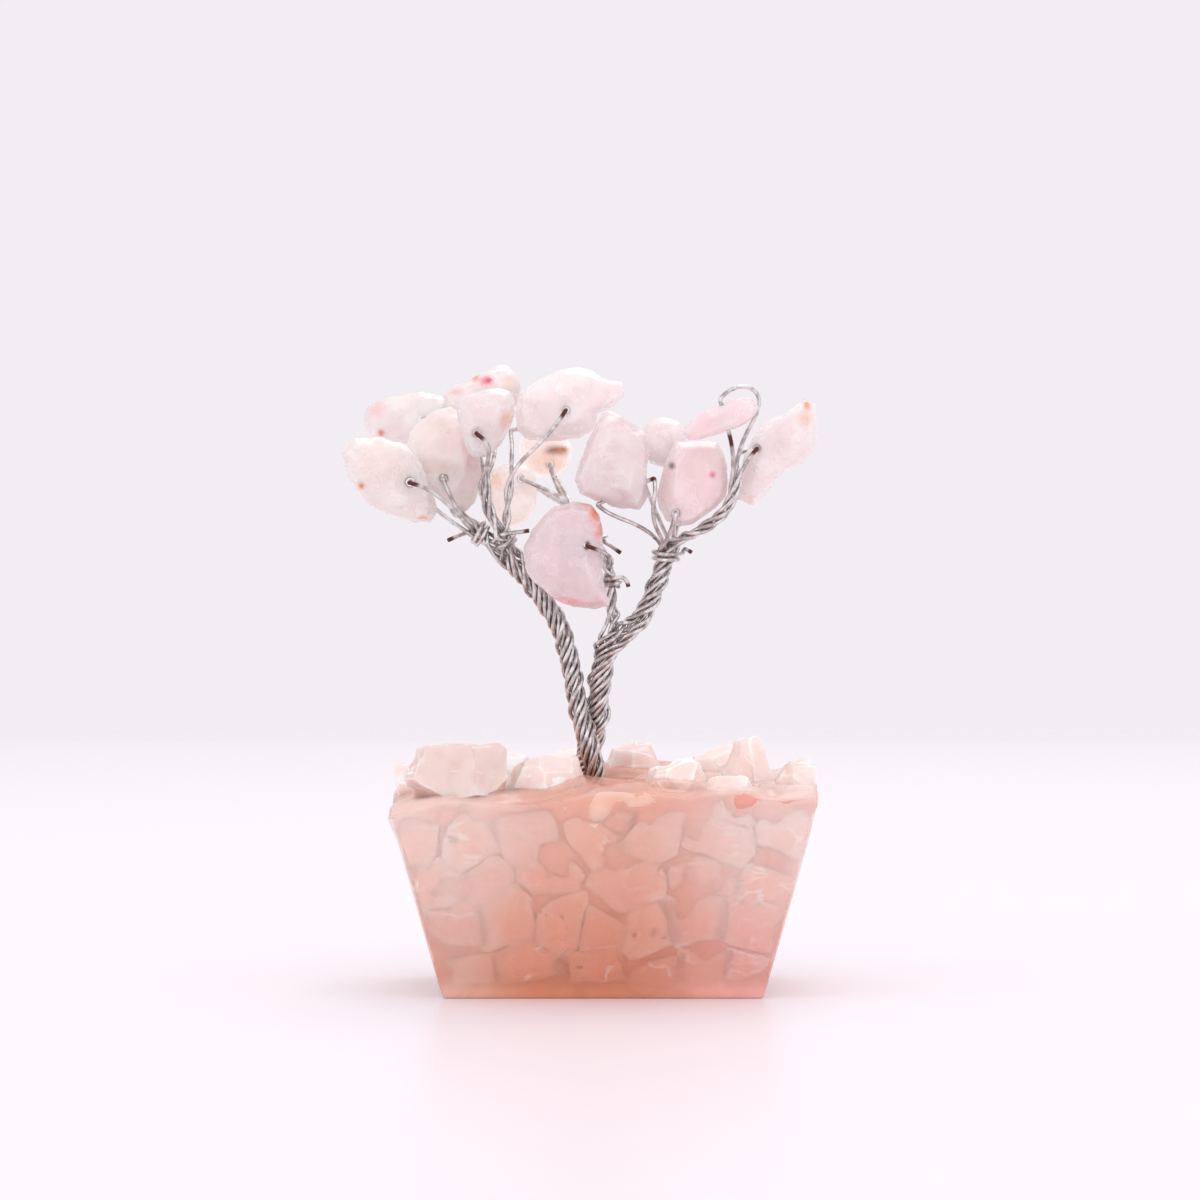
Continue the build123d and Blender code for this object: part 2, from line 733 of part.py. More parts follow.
def flat_solid(planes, inside):
    """The closed solid of flat faces that the planes bound, about a point inside."""
    corners = HalfspaceIntersection(planes, inside).intersections
    _, different = np.unique(np.round(corners, 4), axis=0, return_index=True)
    corners = corners[different]
    hull = ConvexHull(corners)
    sides = []
    for triangle, plane in zip(hull.simplices, hull.equations):
        side = next((side for side in sides if np.allclose(side[0], plane, atol=1e-4)), None)
        if side is None:
            side = (plane, set())
            sides.append(side)
        side[1].update(triangle)
    faces = []
    for plane, members in sides:
        ring = corners[list(members)]
        middle = ring.mean(axis=0)
        across = (ring[0] - middle) / np.linalg.norm(ring[0] - middle)
        along = np.cross(plane[:3], across)
        bearing = np.arctan2((ring - middle) @ along, (ring - middle) @ across)
        faces.append(facet(*ring[np.argsort(bearing)]))
    return Solid(Shell(faces))


def middle_of(planes):
    """The point furthest inside the planes, and how far inside it lies."""
    goal = [0, 0, 0, -1]
    limits = np.column_stack([planes[:, :3], np.ones(len(planes))])
    found = linprog(goal, A_ub=limits, b_ub=-planes[:, 3], bounds=[(None, None)] * 3 + [(0, None)])
    return found.x[:3], found.x[3]


def wall_planes():
    """The four sloping walls of the base."""
    spread_across = (base_top_width - base_bottom_width) / 2 / base_height
    spread_deep = (base_top_depth - base_bottom_depth) / 2 / base_height
    planes = []
    for side in (-1, 1):
        for normal, reach in (
            ((side, 0, -spread_across), base_bottom_width / 2),
            ((0, side, -spread_deep), base_bottom_depth / 2),
        ):
            length = math.dist(normal, (0, 0, 0))
            planes.append([*np.array(normal) / length, -reach / length])
    return planes


def base_width_at(height):
    return base_bottom_width + (base_top_width - base_bottom_width) * height / base_height


def base_depth_at(height):
    return base_bottom_depth + (base_top_depth - base_bottom_depth) * height / base_height


# Chips of the front row of the base, as pixels of their middles, course by course from the bottom
front_chip_pixels = [
    [(462, 972), (521, 970), (596, 966), (658, 972), (704, 966), (750, 970)],
    [(456, 927), (508, 915), (562, 918), (600, 925), (645, 932), (700, 920), (757, 925)],
    [(436, 884), (482, 880), (548, 868), (626, 884), (704, 870), (776, 870)],
    [(420, 836), (466, 840), (524, 832), (590, 828), (653, 826), (716, 838), (785, 836)],
]
course_names = ["bottom_course_chips", "second_course_chips", "third_course_chips", "rim_course_chips"]
course_height_shares = (0.235, 0.455, 0.665, 0.875)
rows_behind = 3
least_in_row = 5
front_row_depth_share = 0.78
first_row_depth_share = -0.26
row_step_share = 0.52
core_reach_share = 4
least_room_share = 4

# How far the chips behind the front row stray from even places, and the rhythm in which they do
stray_across_share = 0.22
stray_deep_share = 0.08
stray_up_share = 0.07
stray_across_rhythm = (7.1, 3.3, 1.7)
stray_deep_rhythm = 5.3
stray_up_rhythm = (4.7, 2.9)

# Chips that stand up out of the rim: middle as shares of the top's half width and half depth, height of
# the middle and of the peak as shares of the tallest, half width and half depth as shares of the top's
# width, and how the roof falls to the right and to the back
rim_rise = 5.5
rim_chip_shares = {
    "broad_slab_chip": ((-0.66, -0.60), 0.20, 0.95, (0.155, 0.110), (0.02, -0.16)),
    "low_sloped_chip": ((-0.26, -0.48), 0.14, 0.70, (0.100, 0.110), (0.10, -0.22)),
    "small_left_chip": ((-0.90, 0.20), 0.10, 0.45, (0.070, 0.100), (-0.25, 0.05)),
    "front_middle_chip": ((0.06, -0.82), 0.02, 0.34, (0.095, 0.080), (0.05, -0.30)),
    "bumpy_chip": ((0.34, -0.50), 0.10, 0.62, (0.085, 0.110), (0.26, -0.14)),
    "small_rounded_chip": ((0.58, -0.80), 0.02, 0.46, (0.062, 0.080), (0.08, -0.25)),
    "peaked_chip": ((0.68, -0.22), 0.14, 1.00, (0.080, 0.090), (0.22, -0.12)),
    "corner_chip": ((0.93, -0.55), 0.06, 0.62, (0.080, 0.110), (-0.34, -0.10)),
    "rear_middle_chip": ((0.14, 0.40), 0.14, 0.76, (0.085, 0.085), (0.12, 0.15)),
    "rear_left_chip": ((-0.52, 0.40), 0.12, 0.62, (0.105, 0.095), (-0.12, 0.20)),
    "rear_right_chip": ((0.56, 0.45), 0.12, 0.66, (0.095, 0.095), (0.18, 0.18)),
    "rear_peaked_chip": ((-0.16, 0.82), 0.08, 0.55, (0.095, 0.085), (0.05, 0.26)),
    "rear_corner_chip": ((0.93, 0.32), 0.06, 0.48, (0.080, 0.110), (0.26, 0.16)),
    "rear_small_chip": ((-0.80, 0.82), 0.04, 0.40, (0.095, 0.085), (-0.22, 0.25)),
    "rear_low_chip": ((0.42, 0.88), 0.06, 0.42, (0.100, 0.080), (0.12, 0.28)),
}
side_steepness = math.tan(math.radians(68))
bevel_steepness = math.tan(math.radians(36))
bevel_share = 0.62
rim_sides = 7
rim_bevel = 1.2


def base_seeds():
    """The middle of each chip cast in the base, with its course."""
    seeds = []
    for course, pixels in enumerate(front_chip_pixels):
        height = base_height * course_height_shares[course]
        half_depth = base_depth_at(height) / 2
        for column, row in pixels:
            level = (rim_row + base_height / mm_per_pixel - row) * mm_per_pixel
            across = (column - middle_column) * mm_per_pixel
            seeds.append((course, across, -front_row_depth_share * half_depth, level))
        for behind in range(rows_behind):
            count = least_in_row + (course + behind) % 2 + course // 2
            for number in range(count):
                stray = math.sin(np.dot(stray_across_rhythm, (number, behind, course)))
                share = (number + 0.5 + stray_across_share * stray) / count
                across = (share - 0.5) * base_width_at(height)
                deep_share = first_row_depth_share + row_step_share * behind
                deep_share += stray_deep_share * math.cos(stray_deep_rhythm * number + behind)
                deep = deep_share * half_depth
                stray = math.sin(np.dot(stray_up_rhythm, (number, behind)) + course)
                level = height + stray_up_share * base_height * stray
                seeds.append((course, across, deep, level))
    for name, (spot, middle, _, _, _) in rim_chip_shares.items():
        across = spot[0] * base_top_width / 2
        deep = spot[1] * base_top_depth / 2
        seeds.append((name, across, deep, base_height + middle * rim_rise))
    return seeds


def base_chips():
    """Every chip cast in the base, packed so that each keeps a film of resin about it."""
    seeds = base_seeds()
    spots = np.array([seed[1:] for seed in seeds])
    chips = {name: [] for name in course_names}
    for index, (course, *spot) in enumerate(seeds):
        spot = np.array(spot)
        planes = wall_planes() + [[0, 0, -1, bottom_layer]]
        away = (spot - trunk_middle) * (1, 1, 0)
        if np.linalg.norm(away) < core_reach_share * trunk_core_radius:
            away /= np.linalg.norm(away)
            planes.append([*-away, away @ trunk_middle + trunk_core_radius])
        for other, neighbour in enumerate(spots):
            between = neighbour - spot
            apart = np.linalg.norm(between)
            if other == index or apart > base_height:
                continue
            between /= apart
            planes.append([*between, resin_film / 2 - between @ (spot + neighbour) / 2])
        if course in rim_chip_shares:
            planes += rim_planes(spot, *rim_chip_shares[course][2:])
        else:
            planes.append([0, 0, 1, -(base_height - resin_film)])
        planes = np.array(planes)
        inside, room = middle_of(planes)
        if room < least_room_share * resin_film:
            continue
        solid = flat_solid(planes, inside)
        if course in rim_chip_shares:
            chips[course] = [solid]
        else:
            chips[course_names[course]].append(solid)
    return chips


def rim_planes(spot, peak, size, fall):
    """The roof, the bevels and the leaning sides of a chip that stands up out of the resin."""
    summit = np.array([spot[0], spot[1], base_height + peak * rim_rise])
    roof = unit(-fall[0], -fall[1], 1)
    planes = [[*roof, -roof @ summit]]
    half_width, half_depth = size[0] * base_top_width, size[1] * base_top_width
    for number in range(rim_sides):
        bearing = 2 * math.pi * (number + peak) / rim_sides
        outward = np.array([math.cos(bearing), math.sin(bearing), 0])
        reach = math.hypot(half_width * outward[0], half_depth * outward[1])
        side = unit(outward[0], outward[1], 1 / side_steepness)
        edge = summit + outward * reach
        edge[2] = base_height
        planes.append([*side, -side @ edge])
        bevel = unit(outward[0], outward[1], 1 / bevel_steepness)
        shoulder = summit + outward * reach * bevel_share
        shoulder[2] -= (1 - peak) * rim_bevel * (number % 3)
        planes.append([*bevel, -bevel @ shoulder])
    return planes


def unit(*parts):
    """A direction of length one."""
    direction = np.array(parts)
    return direction / np.linalg.norm(direction)


os.makedirs("parts", exist_ok=True)
nodes = {}

laid_out = trace_wires()
settled = settle(laid_out)
gap, one, other, where = least_gap(settled)
print(f"least gap between wires {gap:.3f} mm, {one} and {other}, at {where.round(1)}")
for name, points in settled.items():
    wire = wire_solid(points, laid_out[name][1])
    length = np.linalg.norm(np.diff(points, axis=0), axis=1).sum()
    print(f"{name} wire {length:.1f} mm long")
    nodes[name.replace("_chip", "_wire")] = [wire]

for name, rings in chip_corners.items():
    mouths = [Vector(*place(*pixel)) for pixel in wire_settings[name]["hole_pixels"]]
    middle = (mouths[0] + mouths[1]) / 2
    hole = Plane(origin=middle, z_dir=mouths[1] - mouths[0]) * Cylinder(
        hole_diameter / 2, 2 * (mouths[1] - mouths[0]).length
    )
    nodes[name] = [chip_solid(rings) - hole]

cast_chips = base_chips()
block_planes = np.array(wall_planes() + [[0, 0, -1, 0], [0, 0, 1, -base_height]])
block = flat_solid(block_planes, middle_of(block_planes)[0])
sunk = [chip for chips in cast_chips.values() for chip in chips]
nodes["base_resin"] = [block.cut(*sunk)]
nodes.update(cast_chips)

for name, solids in nodes.items():
    shape = solids[0] if len(solids) == 1 else Compound(solids)
    export_step(shape, f"parts/{name}.step")
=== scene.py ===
import json
import math

import bmesh
import bpy
import numpy as np
from mathutils import Matrix, Vector, noise


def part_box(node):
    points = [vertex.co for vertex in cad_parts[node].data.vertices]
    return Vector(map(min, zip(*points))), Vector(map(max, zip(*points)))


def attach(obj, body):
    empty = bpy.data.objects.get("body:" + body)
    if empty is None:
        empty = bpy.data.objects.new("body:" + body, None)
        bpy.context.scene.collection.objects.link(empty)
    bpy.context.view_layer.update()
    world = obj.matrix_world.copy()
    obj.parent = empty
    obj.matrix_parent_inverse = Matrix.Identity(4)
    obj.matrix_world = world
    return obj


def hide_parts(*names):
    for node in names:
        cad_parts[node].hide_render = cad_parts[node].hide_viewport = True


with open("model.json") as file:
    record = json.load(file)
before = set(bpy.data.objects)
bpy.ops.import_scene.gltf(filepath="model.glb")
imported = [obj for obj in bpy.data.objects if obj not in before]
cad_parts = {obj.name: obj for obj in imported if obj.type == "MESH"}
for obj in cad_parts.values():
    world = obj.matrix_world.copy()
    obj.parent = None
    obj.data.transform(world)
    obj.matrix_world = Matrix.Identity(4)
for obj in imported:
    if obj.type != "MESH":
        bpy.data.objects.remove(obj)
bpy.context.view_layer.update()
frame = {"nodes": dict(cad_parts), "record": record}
nodes = frame["nodes"]
scene = bpy.context.scene
mm = 0.001
tiny = 1e-9  # keeps a division from meeting nought

# Where the photograph shows the middle and the floor, and the real size of one of its pixels at the tree
photo = {
    "middleColumn": 603,
    "floorRow": 1001,
    "pixelSize": 0.09428 * mm,
}

bodyOfNode = {}
for bodyName, members in frame["record"]["behaviour"]["bodies"].items():
    for member in members:
        bodyOfNode[member] = bodyName
rootBody = bodyOfNode["base_resin"]


def place(column, row, depth=0):
    across = (column - photo["middleColumn"]) * photo["pixelSize"]
    up = (photo["floorRow"] - row) * photo["pixelSize"]
    return Vector((across, depth * photo["pixelSize"], up))


def colour(code):
    parts = [int(code[index : index + 2], 16) / 255 for index in (1, 3, 5)]
    linear = [c / 12.92 if c <= 0.04045 else ((c + 0.055) / 1.055) ** 2.4 for c in parts]
    return (*linear, 1)


def addNode(tree, kind, settings=None, inputs=None):
    node = tree.nodes.new(kind)
    for key, value in (settings or {}).items():
        setattr(node, key, value)
    for key, value in (inputs or {}).items():
        if isinstance(value, bpy.types.Node):
            value = next(socket for socket in value.outputs if socket.enabled)
        if isinstance(value, bpy.types.NodeSocket):
            tree.links.new(value, node.inputs[key])
        else:
            node.inputs[key].default_value = value
    return node


# Settings that many nodes share; a colour mix takes its share at input 0 and its colours at 6 and 7
times, plus, minus = {"operation": "MULTIPLY"}, {"operation": "ADD"}, {"operation": "SUBTRACT"}
timesPlus, unsigned = {"operation": "MULTIPLY_ADD"}, {"operation": "ABSOLUTE"}
colours = {"data_type": "RGBA", "clamp_factor": True}
colourTimes = {"data_type": "RGBA", "blend_type": "MULTIPLY"}
softly = {"interpolation_type": "SMOOTHSTEP"}


def newMaterial(name):
    material = bpy.data.materials.new(name)
    material.use_nodes = True
    material.node_tree.nodes.clear()
    return material, material.node_tree


# Rose quartz, tumbled: milky pink clouds, white veils, fractures painted bright as glints, edges painted
# lighter as a highlight, a glow from inside with a faint painted glow added, and a soft polish
quartz = {
    "cloud": {"Detail": 4, "Roughness": 0.55, "Distortion": 0.6},
    "cloudEnds": {"From Min": 0.36, "From Max": 0.66},
    "veil": {"Detail": 3, "Roughness": 0.6},
    "veilEnds": {"From Min": 0.56, "From Max": 0.70},
    "veilColour": "#ffffff",
    "fracture": {"Detail": 2, "Distortion": 0.4},
    "fractureLevel": 0.5,
    "fractureFlatness": 2.4,
    "fractureWidth": {"From Min": 0.024, "From Max": 0.004},
    "fractureClouds": {"From Min": 0.46, "From Max": 0.56},
    "fractureGlintColour": "#fffdfb",
    "grain": {"Detail": 5, "Roughness": 0.6},
    "grainSize": 0.5 * mm,
    "grainDepth": 0.06 * mm,
    "glossEnds": {"From Min": 0.3, "From Max": 0.7},
    "glossSpread": (0.7, 1.7),
    "surface": {"IOR": 1.54, "Coat Roughness": 0.06},
}
quartzLooks = {
    "treeRoseQuartz": {
        "pale": "#f8f5f4",
        "deep": "#f5eded",
        "veils": 0.45,
        "fractureGlints": 0.22,
        # Edges are painted lighter by this share, in this colour, as a highlight
        "edgeLight": 0.20,
        "edgeHighlightColour": "#fdfafa",
        "cloudSize": 3.4 * mm,
        "veilSize": 2.0 * mm,
        "veilSwirl": 0.5,
        "fractureSize": 4.2 * mm,
        "glow": 0.75,
        "glowReach": 1.6 * mm,
        "glowColours": (1.0, 0.91, 0.89),
        "clearness": 0.15,
        "innerLight": 0.045,  # the light that comes through a chip, drawn as a faint light of its own
        "polish": 0.30,
        "roughness": 0.20,
        "bump": 0.10,
    },
    "baseRoseQuartz": {
        "pale": "#fffaf8",
        "deep": "#faeae4",
        "veils": 0.75,
        "fractureGlints": 0.85,
        # Edges are painted lighter by this share, in this colour, as a highlight
        "edgeLight": 0.85,
        "edgeHighlightColour": "#fff6ef",
        "cloudSize": 5.0 * mm,
        "veilSize": 1.5 * mm,
        "veilSwirl": 1.5,
        "fractureSize": 6.5 * mm,
        "glow": 0.65,
        "glowReach": 1.8 * mm,
        "glowColours": (1.0, 0.85, 0.80),
        "clearness": 0.0,
        "innerLight": 0.0,
        "polish": 0.08,
        "roughness": 0.38,
        "bump": 0.15,
    },
}


def makeQuartz(name):
    look = {**quartz, **quartzLooks[name]}
    material, tree = newMaterial(name)
    spot = addNode(tree, "ShaderNodeTexCoord").outputs["Object"]
    cloud = addNode(tree, "ShaderNodeTexNoise", None, {
        "Vector": spot, "Scale": 1 / look["cloudSize"], **look["cloud"]})
    veil = addNode(tree, "ShaderNodeTexNoise", None, {
        "Vector": spot, "Scale": 1 / look["veilSize"], "Distortion": look["veilSwirl"], **look["veil"]})
    clouded = addNode(tree, "ShaderNodeMapRange", softly, {"Value": cloud, **look["cloudEnds"]})
    stone = addNode(tree, "ShaderNodeMix", colours, {
        0: clouded, 6: colour(look["pale"]), 7: colour(look["deep"])})
    veils = addNode(tree, "ShaderNodeMapRange", softly, {
        "Value": veil, "To Max": look["veils"], **look["veilEnds"]})
    veiled = addNode(tree, "ShaderNodeMix", colours, {0: veils, 6: stone, 7: colour(look["veilColour"])})

    # Each chip brings its tint, with the strength of its painted glow as the fourth value, and its edges,
    # painted lighter as a highlight
    painted = addNode(tree, "ShaderNodeAttribute", {"attribute_name": "tint"}).outputs
    tinted = addNode(tree, "ShaderNodeMix", colourTimes, {0: 1.0, 6: veiled, 7: painted["Color"]})
    edge = addNode(tree, "ShaderNodeAttribute", {"attribute_name": "edge"}).outputs["Fac"]
    edgeShare = addNode(tree, "ShaderNodeMath", times, {0: edge, 1: look["edgeLight"]})
    rimmed = addNode(tree, "ShaderNodeMix", colours, {
        0: edgeShare, 6: tinted, 7: colour(look["edgeHighlightColour"])})

    # Fractures lie flat and show as thin white lines, in some of the clouds only: the stone's own fractures,
    # painted bright as glints
    flattened = addNode(tree, "ShaderNodeMapping", None, {
        "Vector": spot, "Scale": (1, 1, look["fractureFlatness"])})
    layers = addNode(tree, "ShaderNodeTexNoise", None, {
        "Vector": flattened, "Scale": 1 / look["fractureSize"], **look["fracture"]})
    away = addNode(tree, "ShaderNodeMath", minus, {0: layers, 1: look["fractureLevel"]})
    apart = addNode(tree, "ShaderNodeMath", unsigned, {0: away})
    line = addNode(tree, "ShaderNodeMapRange", softly, {
        "Value": apart, "To Max": look["fractureGlints"], **look["fractureWidth"]})
    where = addNode(tree, "ShaderNodeMapRange", softly, {"Value": cloud, **look["fractureClouds"]})
    crackGlintShare = addNode(tree, "ShaderNodeMath", times, {0: line, 1: where})
    crackedAndGlinting = addNode(tree, "ShaderNodeMix", colours, {
        0: crackGlintShare, 6: rimmed, 7: colour(look["fractureGlintColour"])})

    grain = addNode(tree, "ShaderNodeTexNoise", None, {
        "Vector": spot, "Scale": 1 / look["grainSize"], **look["grain"]})
    bump = addNode(tree, "ShaderNodeBump", None, {
        "Height": grain, "Strength": look["bump"], "Distance": look["grainDepth"]})
    smoothest, roughest = look["glossSpread"]
    gloss = addNode(tree, "ShaderNodeMapRange", None, {
        "Value": veil, "To Min": look["roughness"] * smoothest, "To Max": look["roughness"] * roughest,
        **look["glossEnds"]})
    # The painted glow: the stone's own colour given off faintly, as strong as the chip's fourth tint value
    innerLight = addNode(tree, "ShaderNodeMath", times, {0: painted["Alpha"], 1: look["innerLight"]})
    shader = addNode(tree, "ShaderNodeBsdfPrincipled", None, {
        "Base Color": crackedAndGlinting, "Roughness": gloss, "Normal": bump,
        "Emission Color": crackedAndGlinting, "Emission Strength": innerLight,
        "Subsurface Weight": look["glow"], "Subsurface Scale": look["glowReach"],
        "Subsurface Radius": look["glowColours"], "Coat Weight": look["polish"],
        "Transmission Weight": look["clearness"], **look["surface"]})
    addNode(tree, "ShaderNodeOutputMaterial", None, {"Surface": shader})
    return material


# Casting resin, tinted peach and slightly hazy: a glossy veil over the stone, deeper low down and paler to
# the sides
resinLook = {
    "top": "#f0b7a2",
    "topSide": "#fce8e0",
    "low": "#e09271",
    "lowRight": "#f3b4a8",
    "lowHeights": {"From Min": 16 * mm, "From Max": 0},
    "paleLeft": {"From Min": -15 * mm, "From Max": -5 * mm, "To Min": 0.60},
    "rightEnds": {"From Min": 0, "From Max": 15 * mm},
    "sideEnds": {"From Min": 3 * mm, "From Max": 15 * mm},
    "haze": {"From Min": 0.35, "From Max": 0.65, "To Min": 0.42, "To Max": 0.64},
    "hazeSize": 7 * mm,
    "hazeCloud": {"Detail": 4, "Roughness": 0.5, "Distortion": 0.8},
    "floorHaze": {"From Min": 2.6 * mm, "From Max": 0.2 * mm, "To Max": 0.45},
    "rippleSize": 2.2 * mm,
    "ripple": {"Detail": 3, "Roughness": 0.5},
    "rippleDepth": {"Strength": 0.25, "Distance": 0.08 * mm},
    "surface": {"Roughness": 0.10, "IOR": 1.50},
}


def makeResin():
    material, tree = newMaterial("castPeachResin")
    spot = addNode(tree, "ShaderNodeTexCoord").outputs["Object"]
    parts = addNode(tree, "ShaderNodeSeparateXYZ", None, {0: spot})
    across, height = parts.outputs["X"], parts.outputs["Z"]
    left = addNode(tree, "ShaderNodeMapRange", softly, {"Value": across, **resinLook["paleLeft"]})
    depth = addNode(tree, "ShaderNodeMapRange", softly, {"Value": height, **resinLook["lowHeights"]})
    low = addNode(tree, "ShaderNodeMath", times, {0: depth, 1: left})
    right = addNode(tree, "ShaderNodeMapRange", softly, {"Value": across, **resinLook["rightEnds"]})
    aside = addNode(tree, "ShaderNodeMath", unsigned, {0: across})
    side = addNode(tree, "ShaderNodeMapRange", softly, {"Value": aside, **resinLook["sideEnds"]})
    top = addNode(tree, "ShaderNodeMix", colours, {
        0: side, 6: colour(resinLook["top"]), 7: colour(resinLook["topSide"])})
    bottom = addNode(tree, "ShaderNodeMix", colours, {
        0: right, 6: colour(resinLook["low"]), 7: colour(resinLook["lowRight"])})
    tint = addNode(tree, "ShaderNodeMix", colours, {0: low, 6: top, 7: bottom})
    cloud = addNode(tree, "ShaderNodeTexNoise", None, {
        "Vector": spot, "Scale": 1 / resinLook["hazeSize"], **resinLook["hazeCloud"]})
    haze = addNode(tree, "ShaderNodeMapRange", None, {"Value": cloud, **resinLook["haze"]})
    floorHaze = addNode(tree, "ShaderNodeMapRange", softly, {"Value": height, **resinLook["floorHaze"]})
    cover = addNode(tree, "ShaderNodeMath", plus, {0: haze, 1: floorHaze})
    ripple = addNode(tree, "ShaderNodeTexNoise", None, {
        "Vector": spot, "Scale": 1 / resinLook["rippleSize"], **resinLook["ripple"]})
    bump = addNode(tree, "ShaderNodeBump", None, {"Height": ripple, **resinLook["rippleDepth"]})
    shader = addNode(tree, "ShaderNodeBsdfPrincipled", None, {
        "Base Color": tint, "Alpha": cover, "Normal": bump, **resinLook["surface"]})
    addNode(tree, "ShaderNodeOutputMaterial", None, {"Surface": shader})
    return material


# The heart of the casting, where the depth of the haze hides what lies behind: satin, clouded, salmon
heartLook = {
    "light": "#f6c8b6",
    "deep": "#dd8462",
    "pink": "#ea9c8e",
    "deepHeights": {"From Min": 18 * mm, "From Max": 3 * mm},
    "pinkEnds": {"From Min": 2 * mm, "From Max": 14 * mm, "To Max": 0.7},
    "cloudSize": 6 * mm,
    "cloud": {"Detail": 4, "Distortion": 0.7},
    "cloudMiddle": 0.5,
    "surface": {"Roughness": 0.35, "IOR": 1.50, "Subsurface Weight": 0.9, "Subsurface Scale": 2.2 * mm,
                "Subsurface Radius": (1.0, 0.8, 0.75)},
}


def makeHeart():
    material, tree = newMaterial("cloudedPeachResin")
    spot = addNode(tree, "ShaderNodeTexCoord").outputs["Object"]
    parts = addNode(tree, "ShaderNodeSeparateXYZ", None, {0: spot})
    low = addNode(tree, "ShaderNodeMapRange", softly, {
        "Value": parts.outputs["Z"], **heartLook["deepHeights"]})
    cloud = addNode(tree, "ShaderNodeTexNoise", None, {
        "Vector": spot, "Scale": 1 / heartLook["cloudSize"], **heartLook["cloud"]})
    spread = addNode(tree, "ShaderNodeMath", minus, {0: cloud, 1: heartLook["cloudMiddle"]})
    stirred = addNode(tree, "ShaderNodeMath", plus, {0: low, 1: spread})
    peach = addNode(tree, "ShaderNodeMix", colours, {
        0: stirred, 6: colour(heartLook["light"]), 7: colour(heartLook["deep"])})
    right = addNode(tree, "ShaderNodeMapRange", softly, {
        "Value": parts.outputs["X"], **heartLook["pinkEnds"]})
    pinker = addNode(tree, "ShaderNodeMix", colours, {0: right, 6: peach, 7: colour(heartLook["pink"])})
    shader = addNode(tree, "ShaderNodeBsdfPrincipled", None, {"Base Color": pinker, **heartLook["surface"]})
    addNode(tree, "ShaderNodeOutputMaterial", None, {"Surface": shader})
    return material


# Drawn steel craft wire: a dull silver lustre with fine streaks, browned near the resin, and dark brown at
# each cut end, partly tarnish and partly painted shade where the end sits in a chip's drilled hole
wireLook = {
    "bright": "#e0dcdb",
    "dull": "#aaa2a0",
    "tarnishAndShade": "#6a453f",
    "rust": "#a48475",
    "streakSize": 0.9 * mm,
    "streak": {"Detail": 5, "Roughness": 0.65},
    "streakEnds": {"From Min": 0.38, "From Max": 0.64},
    "streakDepth": {"Strength": 0.25, "Distance": 0.03 * mm},
    "tarnishAndShadeCore": 0.45,
    "rustHeights": {"From Min": 24 * mm, "From Max": 20.5 * mm, "To Max": 0.55},
    "roughness": 0.28,
    "streakRoughness": 0.12,
    "tarnishRoughness": 0.35,
}

# The cut ends of the wires, and how far the dark brown reaches from each: partly tarnish on the wire, partly
# painted shade where the end sits in a chip's drilled hole
wireTips = [
    (place(477, 435, -59), 1.0 * mm), (place(566, 413, 2), 1.0 * mm), (place(589, 547, -72), 1.1 * mm),
    (place(410, 481, -49), 1.1 * mm), (place(528, 533, -32), 0.7 * mm), (place(446, 543, -22), 0.8 * mm),
    (place(621, 557, 4), 0.7 * mm), (place(629, 591, -12), 0.6 * mm), (place(693, 556, -6), 0.5 * mm),
    (place(757, 451, -16), 0.8 * mm), (place(732, 441, -44), 0.9 * mm), (place(655, 480, -22), 0.6 * mm),
]


def makeWire():
    material, tree = newMaterial("drawnSteelWire")
    spot = addNode(tree, "ShaderNodeTexCoord").outputs["Object"]
    streak = addNode(tree, "ShaderNodeTexNoise", None, {
        "Vector": spot, "Scale": 1 / wireLook["streakSize"], **wireLook["streak"]})
    share = addNode(tree, "ShaderNodeMapRange", softly, {"Value": streak, **wireLook["streakEnds"]})
    metal = addNode(tree, "ShaderNodeMix", colours, {
        0: share, 6: colour(wireLook["bright"]), 7: colour(wireLook["dull"])})
    # Dark brown near each cut end: tarnish on the wire, and painted shade where it sits in a drilled hole
    tarnishAndShade = 0.0
    for tip, reach in wireTips:
        away = addNode(tree, "ShaderNodeVectorMath", {"operation": "DISTANCE"}, {0: spot, 1: tuple(tip)})
        near = addNode(tree, "ShaderNodeMapRange", softly, {
            "Value": away, "From Min": reach, "From Max": reach * wireLook["tarnishAndShadeCore"]})
        tarnishAndShade = addNode(tree, "ShaderNodeMath", {"operation": "MAXIMUM"}, {0: tarnishAndShade, 1: near})
    tarnishedAndShaded = addNode(tree, "ShaderNodeMix", colours, {0: tarnishAndShade, 6: metal, 7: colour(wireLook["tarnishAndShade"])})
    height = addNode(tree, "ShaderNodeSeparateXYZ", None, {0: spot}).outputs["Z"]
    foot = addNode(tree, "ShaderNodeMapRange", softly, {"Value": height, **wireLook["rustHeights"]})
    warmed = addNode(tree, "ShaderNodeMix", colours, {0: foot, 6: tarnishedAndShaded, 7: colour(wireLook["rust"])})
    wearAndHighlight = addNode(tree, "ShaderNodeMath", timesPlus, {
        0: share, 1: wireLook["streakRoughness"], 2: wireLook["roughness"]})
    rough = addNode(tree, "ShaderNodeMath", timesPlus, {
        0: tarnishAndShade, 1: wireLook["tarnishRoughness"], 2: wearAndHighlight})
    bump = addNode(tree, "ShaderNodeBump", None, {"Height": streak, **wireLook["streakDepth"]})
    shader = addNode(tree, "ShaderNodeBsdfPrincipled", None, {
        "Base Color": warmed, "Metallic": 1.0, "Roughness": rough, "Normal": bump})
    addNode(tree, "ShaderNodeOutputMaterial", None, {"Surface": shader})
    return material


treeQuartz = makeQuartz("treeRoseQuartz")
baseQuartz = makeQuartz("baseRoseQuartz")
castResin = makeResin()
cloudedResin = makeHeart()
drawnWire = makeWire()
print("materials made")


# Points closer than the weld are one, and each turn of the softening moves a point halfway to its neighbours
meshWork = {"weld": 0.0005 * mm, "softness": 0.5}


